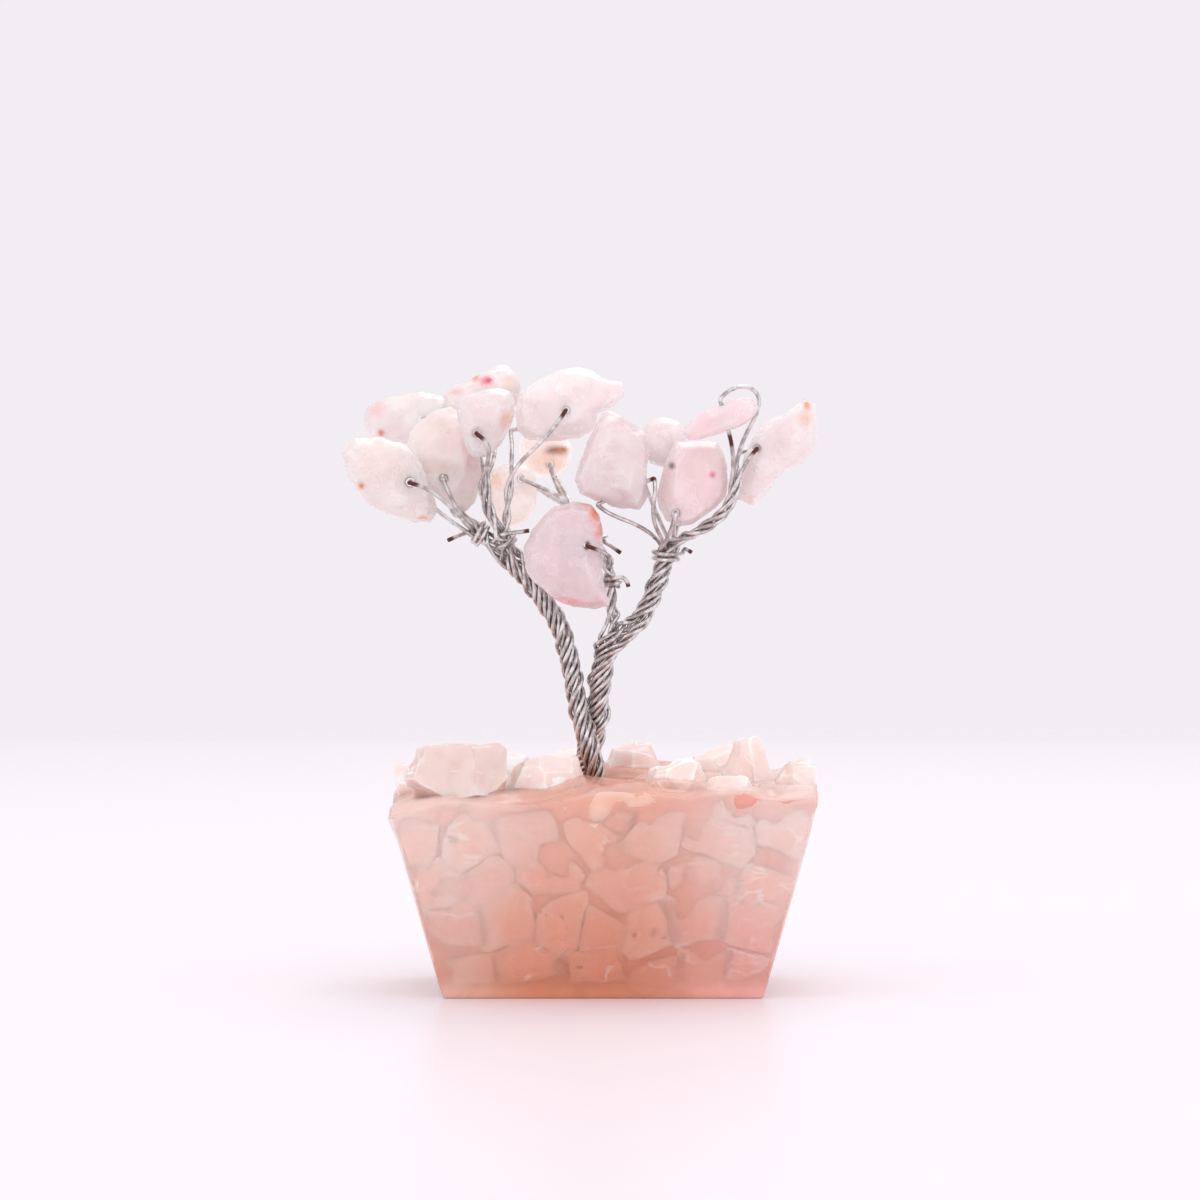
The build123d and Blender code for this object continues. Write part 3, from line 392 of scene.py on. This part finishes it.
def weldedMesh(node, name):
    mesh = nodes[node].data.copy()
    mesh.name = name
    work = bmesh.new()
    work.from_mesh(mesh)
    bmesh.ops.remove_doubles(work, verts=work.verts, dist=meshWork["weld"])
    work.to_mesh(mesh)
    work.free()
    return mesh


def linked(name, mesh):
    piece = bpy.data.objects.new(name, mesh)
    scene.collection.objects.link(piece)
    return piece


def evenOut(piece, voxel):
    remesh = piece.modifiers.new("even", "REMESH")
    remesh.mode = "VOXEL"
    remesh.voxel_size = voxel
    remesh.use_smooth_shade = True


def divide(piece, levels):
    finer = piece.modifiers.new("finer", "SUBSURF")
    finer.subdivision_type = "SIMPLE"
    finer.levels = finer.render_levels = levels


def soften(piece, turns):
    soft = piece.modifiers.new("soften", "SMOOTH")
    soft.factor = meshWork["softness"]
    soft.iterations = turns


# A node tree that dents a surface as tumbling and chipping do. Its noise is stretched and centred on nought
noiseStretch, noiseShift = 2.0, -1.04


def makeTumbledSurface():
    tree = bpy.data.node_groups.new("tumbledSurface", "GeometryNodeTree")
    sockets = tree.interface
    sockets.new_socket("Geometry", in_out="INPUT", socket_type="NodeSocketGeometry")
    for label in ("Dent Depth", "Dent Size", "Chip Depth", "Chip Size", "Seed"):
        sockets.new_socket(label, in_out="INPUT", socket_type="NodeSocketFloat")
    sockets.new_socket("Finish", in_out="INPUT", socket_type="NodeSocketMaterial")
    sockets.new_socket("Geometry", in_out="OUTPUT", socket_type="NodeSocketGeometry")
    given = addNode(tree, "NodeGroupInput").outputs
    spot = addNode(tree, "GeometryNodeInputPosition")
    facing = addNode(tree, "GeometryNodeInputNormal")
    shift = addNode(tree, "ShaderNodeCombineXYZ", None, {"X": given["Seed"]})
    total = 0.0
    for size, depth, detail in (("Dent Size", "Dent Depth", 1.0), ("Chip Size", "Chip Depth", 3.0)):
        finer = addNode(tree, "ShaderNodeMath", {"operation": "DIVIDE"}, {0: 1.0, 1: given[size]})
        scaled = addNode(tree, "ShaderNodeVectorMath", {"operation": "SCALE"}, {0: spot, "Scale": finer})
        seeded = addNode(tree, "ShaderNodeVectorMath", plus, {0: scaled, 1: shift})
        pattern = addNode(tree, "ShaderNodeTexNoise", None, {
            "Vector": seeded, "Scale": 1.0, "Detail": detail, "Roughness": 0.5})
        centred = addNode(tree, "ShaderNodeMath", timesPlus, {0: pattern, 1: noiseStretch, 2: noiseShift})
        total = addNode(tree, "ShaderNodeMath", timesPlus, {0: centred, 1: given[depth], 2: total})
    offset = addNode(tree, "ShaderNodeVectorMath", {"operation": "SCALE"}, {0: facing, "Scale": total})
    moved = addNode(tree, "GeometryNodeSetPosition", None, {"Geometry": given["Geometry"], "Offset": offset})
    smooth = addNode(tree, "GeometryNodeSetShadeSmooth", None, {"Geometry": moved})
    real = addNode(tree, "GeometryNodeRealizeInstances", None, {"Geometry": smooth})
    dressed = addNode(tree, "GeometryNodeSetMaterial", None, {"Geometry": real, "Material": given["Finish"]})
    addNode(tree, "NodeGroupOutput", None, {"Geometry": dressed})
    return tree


tumbledSurface = makeTumbledSurface()


def setInput(modifier, label, value):
    for item in modifier.node_group.interface.items_tree:
        if item.item_type == "SOCKET" and item.in_out == "INPUT" and item.name == label:
            modifier[item.identifier] = value


def addTumbling(piece, settings, finish, seed):
    modifier = piece.modifiers.new("tumbledSurface", "NODES")
    modifier.node_group = tumbledSurface
    for label, value in settings.items():
        setInput(modifier, label, value)
    setInput(modifier, "Seed", float(seed))
    setInput(modifier, "Finish", finish)


def settle(piece):
    bpy.context.view_layer.update()
    graph = bpy.context.evaluated_depsgraph_get()
    mesh = bpy.data.meshes.new_from_object(piece.evaluated_get(graph))
    piece.modifiers.clear()
    piece.data = mesh


def corners(mesh):
    spots = np.zeros(len(mesh.vertices) * 3, np.float32)
    mesh.vertices.foreach_get("co", spots)
    return spots.reshape(-1, 3)


def moveCorners(mesh, spots):
    mesh.vertices.foreach_set("co", spots.ravel())
    mesh.update()


def edgeEnds(mesh):
    ends = np.zeros(len(mesh.edges) * 2, np.int32)
    mesh.edges.foreach_get("vertices", ends)
    return ends.reshape(-1, 2).T


# The tint of each point, and the strength of the painted glow there, which stands for light coming
# through the stone
def paintTint(mesh, tints, light=1):
    layer = mesh.color_attributes.new("tint", "FLOAT_COLOR", "POINT")
    values = np.full((len(mesh.vertices), 4), light, np.float32)
    values[:, :3] = tints
    layer.data.foreach_set("color", values.ravel())


# How far each point lies on a convex edge, which is painted lighter as a highlight: its bend per metre
# between the two values of sharp, blurred a few times
def paintEdgeHighlight(mesh, sharp, blurs):
    count = len(mesh.vertices)
    spots = corners(mesh)
    normals = np.zeros(count * 3, np.float32)
    mesh.vertices.foreach_get("normal", normals)
    normals = normals.reshape(-1, 3)
    first, second = edgeEnds(mesh)
    step = spots[second] - spots[first]
    length = np.linalg.norm(step, axis=1) + tiny
    bend = np.zeros(count)
    near = np.zeros(count)
    np.add.at(bend, first, -(step * normals[first]).sum(axis=1) / length**2)
    np.add.at(bend, second, (step * normals[second]).sum(axis=1) / length**2)
    np.add.at(near, first, 1)
    np.add.at(near, second, 1)
    bend /= np.maximum(near, 1)
    for turn in range(blurs):
        total = bend.copy()
        np.add.at(total, first, bend[second])
        np.add.at(total, second, bend[first])
        bend = total / (near + 1)
    share = np.clip((bend - sharp[0]) / (sharp[1] - sharp[0]), 0, 1)
    layer = mesh.attributes.new("edge", "FLOAT", "POINT")
    layer.data.foreach_set("value", share.astype(np.float32))


# Chips of the tree: a fine even skin with shallow dents and small chips, and soft edges to the stains and
# the painted shade
treeChips = {
    "voxel": 0.17 * mm,
    "softening": 2,
    "tumbling": {
        "Dent Depth": 0.42 * mm, "Dent Size": 2.6 * mm, "Chip Depth": 0.11 * mm, "Chip Size": 1.0 * mm},
    # The bends per metre over which an edge is painted lighter as a highlight
    "sharpEdge": (350, 1100),
    "edgeBlurs": 3,
    "stainAndShadeReach": 1.35,
    "stainAndShadeFade": 1.3,
    "firstSeed": 10,
    "seedStep": 3.7,
}

# Each chip's shade, the strength of its painted glow that stands for light through it, and its stains, one
# of them painted shade in a drilled hole: the pixel in their middle, how many pixels they reach across and
# up, and their colour. A calm chip has shallower dents, since it hangs close to a wire
chipLooks = {
    "far_left_chip": {
        "shade": "#faf6f1", "light": 0.3,
        "stainsAndShade": [(358, 487, 4, 4, "#e0a468"), (420, 520, 5, 3, "#e3b896"), (380, 464, 24, 24, "#fdf3ec")]},
    "upper_left_chip": {
        "shade": "#fcf8f5", "light": 0.2,
        "stainsAndShade": [(374, 436, 4, 4, "#f0909c"), (368, 410, 12, 12, "#fbdfdd")]},
    "ridge_chip": {
        "shade": "#fdf6f3", "light": 0.5,
        "stainsAndShade": [(483, 382, 8, 6, "#f2a4ac"), (486, 381, 4, 3, "#e8537a"), (472, 379, 5, 4, "#eeaa8e"),
                   (505, 382, 5, 9, "#faeadf"), (452, 393, 9, 4, "#f6d6d4")]},
    "left_middle_chip": {
        "shade": "#fbf3ef", "light": 0.6,
        "stainsAndShade": [(440, 450, 20, 30, "#fdf2ec"), (468, 440, 10, 30, "#fbdfdc")]},
    "grey_pink_chip": {
        "shade": "#faf2f0", "light": 0.2, "calm": 0.35,
        "stainsAndShade": [(505, 420, 8, 10, "#f6d5c0")]},
    "pale_peach_chip": {
        "shade": "#fef9f4", "light": 3.8,
        "stainsAndShade": [(494, 484, 9, 9, "#fde6d8")]},
    "brown_stained_chip": {
        "shade": "#fdf6f2", "light": 5,
        "stainsAndShade": [(554, 455, 13, 6, "#9a5a30"), (550, 456, 5, 3, "#5a2a14"), (562, 453, 5, 3, "#c8824a"),
                   (548, 466, 22, 12, "#fbe6d9")]},
    "teardrop_chip": {
        "shade": "#ecdde0", "light": 0.8,
        "stainsAndShade": [(596, 514, 9, 12, "#f0957e"), (600, 532, 6, 12, "#f0a39a"), (588, 504, 10, 4, "#f4ad9c"),
                   (566, 604, 24, 6, "#f6c3c8")]},
    "front_pink_chip": {
        "shade": "#fcedec", "light": 0.6, "calm": 0.35,
        # The grey spot is painted shade in a drilled hole; the other two are stains
        "stainsAndShade": [(700, 480, 44, 44, "#fce8e7"), (714, 476, 4, 4, "#ec8496"), (673, 467, 4, 4, "#8d8488")]},
    "loop_chip": {
        "shade": "#fdebed", "light": 0.9, "calm": 0.12,
        "stainsAndShade": [(718, 418, 60, 60, "#fce8ea")]},
    "far_right_chip": {
        "shade": "#fffaf9", "light": 0.7,
        "stainsAndShade": [(811, 405, 5, 8, "#eda68e"), (808, 420, 8, 10, "#f8d6c8"),
                   (770, 470, 50, 50, "#fff7f6")]},
    "crown_chip": {
        "shade": "#fcf4f3", "light": 1.6,
        "stainsAndShade": [(560, 450, 30, 8, "#fbe6e2")]},
    "triangle_chip": {
        "shade": "#f1e7e7", "light": 0.4,
        "stainsAndShade": [(612, 440, 40, 40, "#f8eeee")]},
    "shadowed_chip": {"shade": "#faf2f1", "light": 1.1},
}


# Each point takes its chip's shade, then its stains and the painted shade of a drilled hole
def stainedAndShadedTints(look, spots):
    tints = np.tile(np.array(colour(look["shade"])[:3]), (len(spots), 1))
    for column, row, wide, tall, code in look.get("stainsAndShade", []):
        centre = place(column, row)
        across, up = (spots[:, 0] - centre.x) / wide, (spots[:, 2] - centre.z) / tall
        away = np.hypot(across, up) / photo["pixelSize"]
        share = np.clip(treeChips["stainAndShadeReach"] - away, 0, 1)[:, None] ** treeChips["stainAndShadeFade"]
        tints = tints * (1 - share) + np.array(colour(code)[:3]) * share
    return tints


def makeTreeChip(node, seed):
    look = chipLooks[node]
    piece = linked(node + "_stone", weldedMesh(node, node + "_stone"))
    evenOut(piece, treeChips["voxel"])
    soften(piece, treeChips["softening"])
    tumbling = dict(treeChips["tumbling"])
    for label in ("Dent Depth", "Chip Depth"):
        tumbling[label] *= look.get("calm", 1)
    addTumbling(piece, tumbling, treeQuartz, seed)
    settle(piece)
    spots = np.clip(corners(piece.data), *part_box(node))
    moveCorners(piece.data, spots)
    paintTint(piece.data, stainedAndShadedTints(look, spots), look["light"])
    paintEdgeHighlight(piece.data, treeChips["sharpEdge"], treeChips["edgeBlurs"])
    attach(piece, bodyOfNode[node])
    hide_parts(node)


for number, node in enumerate(sorted(chipLooks)):
    makeTreeChip(node, treeChips["firstSeed"] + treeChips["seedStep"] * number)
print("tree chips made", len(chipLooks))

# The resin block: flat walls, a soft edge all round, and a top that follows the photographed rim, waves a
# little and climbs up each chip. The rim is given as columns of the photograph and the row of its edge there
resinBlock = {
    "columns": 72,
    "rows": 50,
    "levels": 20,
    "topShare": 0.2,
    "voxel": 0.30 * mm,
    "softening": 4,
    "cornerRadius": 0.9 * mm,
    "topReach": 2 * mm,
    "topWave": 0.30 * mm,
    "waveSize": 4.5 * mm,
    "waveMiddle": 0.3,
    "waveSlice": 0.3 * mm,
    "climb": 1.1 * mm,
    "climbReach": 1.45,
    "climbFade": 0.6,
    "rimRows": [(389, 812), (415, 809), (440, 806), (500, 802), (545, 797), (585, 789), (660, 789),
                (740, 796), (821, 792)],
}


def wallShape():
    close = 0.01 * mm
    low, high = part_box("base_resin")
    solid = corners(nodes["base_resin"].data)
    foot = solid[solid[:, 2] < low.z + close]
    rim = solid[solid[:, 2] > high.z - close]
    return low.z, high.z, foot[:, :2].max(axis=0), rim[:, :2].max(axis=0)


def isCourse(node):
    return node.endswith("_chips")


floorHeight, resinHeight, footHalf, rimHalf = wallShape()
baseNodes = [
    name for name, body in bodyOfNode.items() if body == rootBody and name.endswith(("_chip", "_chips"))]
rimBoxes = [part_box(node) for node in baseNodes if not isCourse(node)]


def halfAt(height):
    share = (np.asarray(height) - floorHeight) / (resinHeight - floorHeight)
    return footHalf + (rimHalf - footHalf) * share[..., None]


def topHeight(across, deep):
    wave = noise.noise(Vector((across, deep, resinBlock["waveSlice"])) / resinBlock["waveSize"])
    climb = 0
    for low, high in rimBoxes:
        reachAcross, reachDeep = (high.x - low.x) / 2, (high.y - low.y) / 2
        offAcross, offDeep = across - (low.x + high.x) / 2, deep - (low.y + high.y) / 2
        away = math.hypot(offAcross / reachAcross, offDeep / reachDeep)
        climb = max(climb, min(1, max(0, (resinBlock["climbReach"] - away) / resinBlock["climbFade"])))
    columns, rows = zip(*resinBlock["rimRows"])
    row = np.interp(photo["middleColumn"] + across / photo["pixelSize"], columns, rows)
    rise = (photo["floorRow"] - row) * photo["pixelSize"] - resinHeight
    waved = rise + resinBlock["topWave"] * (wave - resinBlock["waveMiddle"])
    return waved + resinBlock["climb"] * climb**2 * (3 - 2 * climb)


def easedBelow(value, limit, ease):
    over = np.maximum(0, value - limit + ease)
    return np.where(over > 0, limit - ease + ease * (1 - np.exp(-over / ease)), value)


def keepInside(spots, gap, ease):
    half = halfAt(np.minimum(spots[:, 2], resinHeight)) - gap
    away, sides = np.abs(spots[:, :2]), np.sign(spots[:, :2])
    away = easedBelow(away, half, ease)
    radius = resinBlock["cornerRadius"]
    over = np.maximum(away - half + radius, 0)
    reach = np.maximum(np.hypot(over[:, 0], over[:, 1]), tiny)[:, None]
    spots[:, :2] = sides * (away - over * (1 - np.minimum(1, radius / reach)))


def keepBelowTop(spots, gap):
    near = spots[:, 2] > resinHeight - resinBlock["topReach"]
    top = np.array([topHeight(x, y) for x, y in spots[near, :2]]) + resinHeight - gap
    spots[near, 2] = np.minimum(spots[near, 2], top)


# Chips of the base: edges worn round, and a tone for each. Those cast in the courses are turned and grown a
# little, kept behind the walls and further behind the rim, and deeper in colour the further in they lie
baseChips = {
    "flatFold": math.radians(2),
    "bevel": 0.50 * mm,
    "bevelSteps": 2,
    "bevelShape": 0.6,
    "weld": 0.02 * mm,
    "fineness": {"bottom_course_chips": 2},
    "usualFineness": 3,
    "softening": 8,
    "tumbling": {
        "Dent Depth": 0.55 * mm, "Dent Size": 3.0 * mm, "Chip Depth": 0.20 * mm, "Chip Size": 1.1 * mm},
    "rimSize": 0.985,
    "courseSize": (1.06, 1.20),
    "turn": math.radians(18),
    "turnShare": (0.3, 1),
    "sink": 1.1 * mm,
    "lowest": 0.6 * mm,
    "wallGap": 0.10 * mm,
    "wallEase": 0.30 * mm,
    "rimGap": 0.45 * mm,
    "rimReach": 2.0 * mm,
    "topGap": 0.32 * mm,
    "sharpFold": math.radians(45),
    # The bends per metre over which an edge is painted lighter as a highlight, on course and rim chips
    "sharpEdge": (120, 620),
    "rimEdge": (500, 2400),
    "edgeBlurs": 8,
    "shades": {"broad_slab_chip": "#efdbd5", "corner_chip": "#f4e3dd", "front_middle_chip": "#f6e2dc"},
    "tones": ["#ffffff", "#fff6f0", "#fff3ee", "#ffece8", "#fceae6", "#fff0e6", "#feefee", "#fbe6e2"],
    "heightTints": [(0, (0.85, 0.54, 0.42)), (6, (0.92, 0.60, 0.49)), (12, (0.96, 0.68, 0.57)),
                    (17, (0.97, 0.87, 0.83)), (19.5, (0.93, 0.97, 0.97))],
    "courseTintTop": 17.5,
    "deepFrom": 0.25 * mm,
    "deepReach": 0.90 * mm,
    "deepTint": (1.10, 0.80, 0.68),
    "firstSeed": 50,
    "seedStep": 2.3,
}


def looseParts(mesh):
    first, second = edgeEnds(mesh)
    label = np.arange(len(mesh.vertices))
    while True:
        low = np.minimum(label[first], label[second])
        new = label.copy()
        np.minimum.at(new, first, low)
        np.minimum.at(new, second, low)
        new = new[new]
        if (new == label).all():
            return label
        label = new


def wornStones(node):
    mesh = weldedMesh(node, node + "_stones")
    work = bmesh.new()
    work.from_mesh(mesh)
    bmesh.ops.dissolve_limit(work, angle_limit=baseChips["flatFold"], verts=work.verts, edges=work.edges)
    bmesh.ops.bevel(work, geom=list(work.edges), offset=baseChips["bevel"], offset_type="OFFSET",
                    segments=baseChips["bevelSteps"], profile=baseChips["bevelShape"], affect="EDGES",
                    clamp_overlap=True)
    bmesh.ops.remove_doubles(work, verts=work.verts, dist=baseChips["weld"])
    work.to_mesh(mesh)
    work.free()
    piece = linked(node + "_stones", mesh)
    divide(piece, baseChips["fineness"].get(node, baseChips["usualFineness"]))
    soften(piece, baseChips["softening"])
    return piece


def layStones(node, mesh, chance):
    loose = isCourse(node)
    spots = corners(mesh)
    tints = np.ones((len(spots), 3))
    label = looseParts(mesh)
    for part in np.unique(label):
        mine = label == part
        middle = spots[mine].mean(axis=0)
        size = chance.uniform(*baseChips["courseSize"]) if loose else baseChips["rimSize"]
        axis = Vector(chance.normal(size=3)).normalized()
        turn = chance.uniform(*baseChips["turnShare"]) * baseChips["turn"] if loose else 0
        turned = (spots[mine] - middle) @ np.array(Matrix.Rotation(turn, 3, axis)).T
        spots[mine] = middle + turned * size
        if node == "bottom_course_chips":
            spots[mine, 2] -= chance.uniform(0, baseChips["sink"])
        tone = baseChips["tones"][chance.integers(len(baseChips["tones"]))]
        tints[mine] = colour(baseChips["shades"].get(node, tone))[:3]
    return spots, tints


def fitStones(node, spots):
    nearRim = np.clip(1 - np.abs(spots[:, 2:] - resinHeight) / baseChips["rimReach"], 0, 1)
    keepInside(spots, baseChips["wallGap"] + baseChips["rimGap"] * nearRim, baseChips["wallEase"])
    if isCourse(node):
        spots[:, 2] = -easedBelow(-spots[:, 2], -baseChips["lowest"], baseChips["wallEase"])
        keepBelowTop(spots, baseChips["topGap"])
    else:
        np.clip(spots, *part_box(node), out=spots)


def deepenTints(node, spots, tints):
    loose = isCourse(node)
    heights, heightColours = zip(*baseChips["heightTints"])
    height = np.minimum(spots[:, 2] / mm, baseChips["courseTintTop"] if loose else heights[-1])
    for channel in range(3):
        tints[:, channel] *= np.interp(height, heights, [c[channel] for c in heightColours])
    if loose:
        behind = (halfAt(np.minimum(spots[:, 2], resinHeight)) - np.abs(spots[:, :2])).min(axis=1)
        share = np.clip((behind - baseChips["deepFrom"]) / baseChips["deepReach"], 0, 1)[:, None]
        tints *= 1 - share * (1 - np.array(baseChips["deepTint"]))


def makeBaseChips(node, seed):
    piece = wornStones(node)
    addTumbling(piece, baseChips["tumbling"], baseQuartz, seed)
    settle(piece)
    spots, tints = layStones(node, piece.data, np.random.default_rng(int(seed * 10)))
    fitStones(node, spots)
    deepenTints(node, spots, tints)
    moveCorners(piece.data, spots)
    piece.data.set_sharp_from_angle(angle=baseChips["sharpFold"])
    paintTint(piece.data, tints)
    # Convex edges are painted lighter as a highlight; on the rim chips only the sharpest ones
    wearAndHighlight = "sharpEdge" if isCourse(node) else "rimEdge"
    paintEdgeHighlight(piece.data, baseChips[wearAndHighlight], baseChips["edgeBlurs"])
    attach(piece, rootBody)
    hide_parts(node)


for number, node in enumerate(sorted(baseNodes)):
    makeBaseChips(node, baseChips["firstSeed"] + baseChips["seedStep"] * number)
print("base chips made", len(baseNodes))


def blockMesh():
    work = bmesh.new()
    columns, rows, levels = resinBlock["columns"], resinBlock["rows"], resinBlock["levels"]
    topStart = 1 - resinBlock["topShare"]
    made = {}

    def corner(i, j, k):
        if (i, j, k) not in made:
            up = k / levels
            half = footHalf * (1 - up) + rimHalf * up
            across = (2 * i / columns - 1) * half[0]
            deep = (2 * j / rows - 1) * half[1]
            height = floorHeight + (resinHeight - floorHeight) * up
            if up > topStart:
                height += topHeight(across, deep) * (up - topStart) / resinBlock["topShare"]
            made[i, j, k] = work.verts.new((across, deep, height))
        return made[i, j, k]

    def addFace(*places):
        work.faces.new([corner(*spot) for spot in places])

    for i in range(columns):
        for j in range(rows):
            addFace((i, j, 0), (i, j + 1, 0), (i + 1, j + 1, 0), (i + 1, j, 0))
            addFace((i, j, levels), (i + 1, j, levels), (i + 1, j + 1, levels), (i, j + 1, levels))
    for k in range(levels):
        for i in range(columns):
            addFace((i, 0, k), (i + 1, 0, k), (i + 1, 0, k + 1), (i, 0, k + 1))
            addFace((i + 1, rows, k), (i, rows, k), (i, rows, k + 1), (i + 1, rows, k + 1))
        for j in range(rows):
            addFace((0, j + 1, k), (0, j, k), (0, j, k + 1), (0, j + 1, k + 1))
            addFace((columns, j, k), (columns, j + 1, k), (columns, j + 1, k + 1), (columns, j, k + 1))
    bmesh.ops.recalc_face_normals(work, faces=work.faces)
    mesh = bpy.data.meshes.new("resin_block")
    work.to_mesh(mesh)
    work.free()
    mesh.shade_smooth()
    return mesh


def makeResinBlock():
    piece = linked("resin_block", blockMesh())
    piece.data.materials.append(castResin)
    evenOut(piece, resinBlock["voxel"])
    soften(piece, resinBlock["softening"])
    settle(piece)
    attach(piece, rootBody)
    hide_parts("base_resin")


makeResinBlock()

# The clouded heart of the block: a rough core that fills the gaps behind the chips
resinHeart = {
    "inset": 0.22 * mm,
    "floor": 0.5 * mm,
    "fineness": 6,
    "tumbling": {
        "Dent Depth": 0.90 * mm, "Dent Size": 3.4 * mm, "Chip Depth": 0.3 * mm, "Chip Size": 1.4 * mm},
    "seed": 5,
    "wallGap": 0.07 * mm,
    "wallEase": 0.2 * mm,
    "topGap": 0.25 * mm,
    "floorGap": 0.25 * mm,
}


def heartMesh():
    work = bmesh.new()
    rings = []
    for height in (resinHeart["floor"], resinHeight + resinBlock["climb"]):
        half = halfAt(height) - resinHeart["inset"]
        signs = ((-1, -1), (1, -1), (1, 1), (-1, 1))
        rings.append([work.verts.new((x * half[0], y * half[1], height)) for x, y in signs])
    for k in range(4):
        after = (k + 1) % 4
        work.faces.new((rings[0][k], rings[0][after], rings[1][after], rings[1][k]))
    work.faces.new(rings[0][::-1])
    work.faces.new(rings[1])
    mesh = bpy.data.meshes.new("resin_heart")
    work.to_mesh(mesh)
    work.free()
    return mesh


def makeResinHeart():
    piece = linked("resin_heart", heartMesh())
    divide(piece, resinHeart["fineness"])
    addTumbling(piece, resinHeart["tumbling"], cloudedResin, resinHeart["seed"])
    settle(piece)
    spots = corners(piece.data)
    keepInside(spots, resinHeart["wallGap"], resinHeart["wallEase"])
    keepBelowTop(spots, resinHeart["topGap"])
    spots[:, 2] = np.maximum(spots[:, 2], resinHeart["floorGap"])
    moveCorners(piece.data, spots)
    piece.data.set_sharp_from_angle(angle=baseChips["sharpFold"])
    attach(piece, rootBody)


makeResinHeart()
print("resin made")

for name, node in nodes.items():
    if name.endswith("_wire"):
        node.data.materials.clear()
        node.data.materials.append(drawnWire)
print("wires dressed")

# A pale painted table, satin, whose far edge melts into the bright room behind it
table = {
    "near": -0.9,
    "far": 0.40,
    "halfWidth": 1.2,
    "fade": {"From Min": 0.372, "From Max": 0.300},
    "paint": "#f5f1f5",
    "surface": {"Roughness": 0.32, "Specular IOR Level": 0.22},
}


def makeTable():
    wide, near, far = table["halfWidth"], table["near"], table["far"]
    spots = [(-wide, near, 0), (wide, near, 0), (wide, far, 0), (-wide, far, 0)]
    mesh = bpy.data.meshes.new("table_top")
    mesh.from_pydata(spots, [], [(0, 1, 2, 3)])
    piece = linked("table_top", mesh)
    material, tree = newMaterial("paintedTable")
    spot = addNode(tree, "ShaderNodeTexCoord").outputs["Object"]
    deep = addNode(tree, "ShaderNodeSeparateXYZ", None, {0: spot}).outputs["Y"]
    cover = addNode(tree, "ShaderNodeMapRange", softly, {"Value": deep, **table["fade"]})
    shader = addNode(tree, "ShaderNodeBsdfPrincipled", None, {
        "Base Color": colour(table["paint"]), "Alpha": cover, **table["surface"]})
    addNode(tree, "ShaderNodeOutputMaterial", None, {"Surface": shader})
    mesh.materials.append(material)


makeTable()

# Soft daylight from all round: for each lamp its place, where it points, its size in metres and its power
lights = {
    "worldStrength": 0.92,
    "worldColour": "#fbf6fb",
    "areas": [
        ("overhead", (0.05, -0.10, 0.42), (0, 0, 0.03), 0.42, 0.26),
        ("frontSoft", (0.12, -0.75, 0.30), (0, 0, 0.03), 0.50, 0.38),
        ("frontLow", (0.0, -0.60, 0.07), (0, 0, 0.03), 0.40, 0.10),
        ("leftSoft", (-0.42, -0.22, 0.20), (0, 0, 0.03), 0.34, 0.28),
        ("rightSoft", (0.42, -0.22, 0.16), (0, 0, 0.02), 0.34, 0.12),
        ("behind", (0.06, 0.20, 0.34), (0, 0, 0.03), 0.22, 0.25),
    ],
}


def makeLights():
    world = bpy.data.worlds.new("softRoom")
    world.use_nodes = True
    background = world.node_tree.nodes["Background"].inputs
    background["Color"].default_value = colour(lights["worldColour"])
    background["Strength"].default_value = lights["worldStrength"]
    scene.world = world
    for name, spot, target, size, power in lights["areas"]:
        data = bpy.data.lights.new(name, "AREA")
        data.size = size
        data.energy = power
        lamp = bpy.data.objects.new(name, data)
        lamp.location = spot
        lamp.rotation_euler = (Vector(target) - Vector(spot)).to_track_quat("-Z", "Y").to_euler()
        scene.collection.objects.link(lamp)


# The camera looks at the middle of the photograph, a little from above
view = {
    "aim": place(600, 604.6),
    "distance": 600 * mm,
    "angle": math.radians(2.8),
    "width": 115.4 * mm,
    "sensor": 36,
    "nearest": 10 * mm,
}


def makeCamera():
    away = Vector((0, -math.cos(view["angle"]), math.sin(view["angle"]))) * view["distance"]
    data = bpy.data.cameras.new("camera")
    data.sensor_fit = "HORIZONTAL"
    data.sensor_width = view["sensor"]
    data.lens = view["sensor"] * view["distance"] / view["width"]
    data.clip_start = view["nearest"]
    camera = bpy.data.objects.new("camera", data)
    camera.location = view["aim"] + away
    camera.rotation_euler = (-away).to_track_quat("-Z", "Y").to_euler()
    scene.collection.objects.link(camera)
    scene.camera = camera


makeLights()
makeCamera()
scene.view_settings.view_transform = "Standard"
print("stage, lights and camera set")
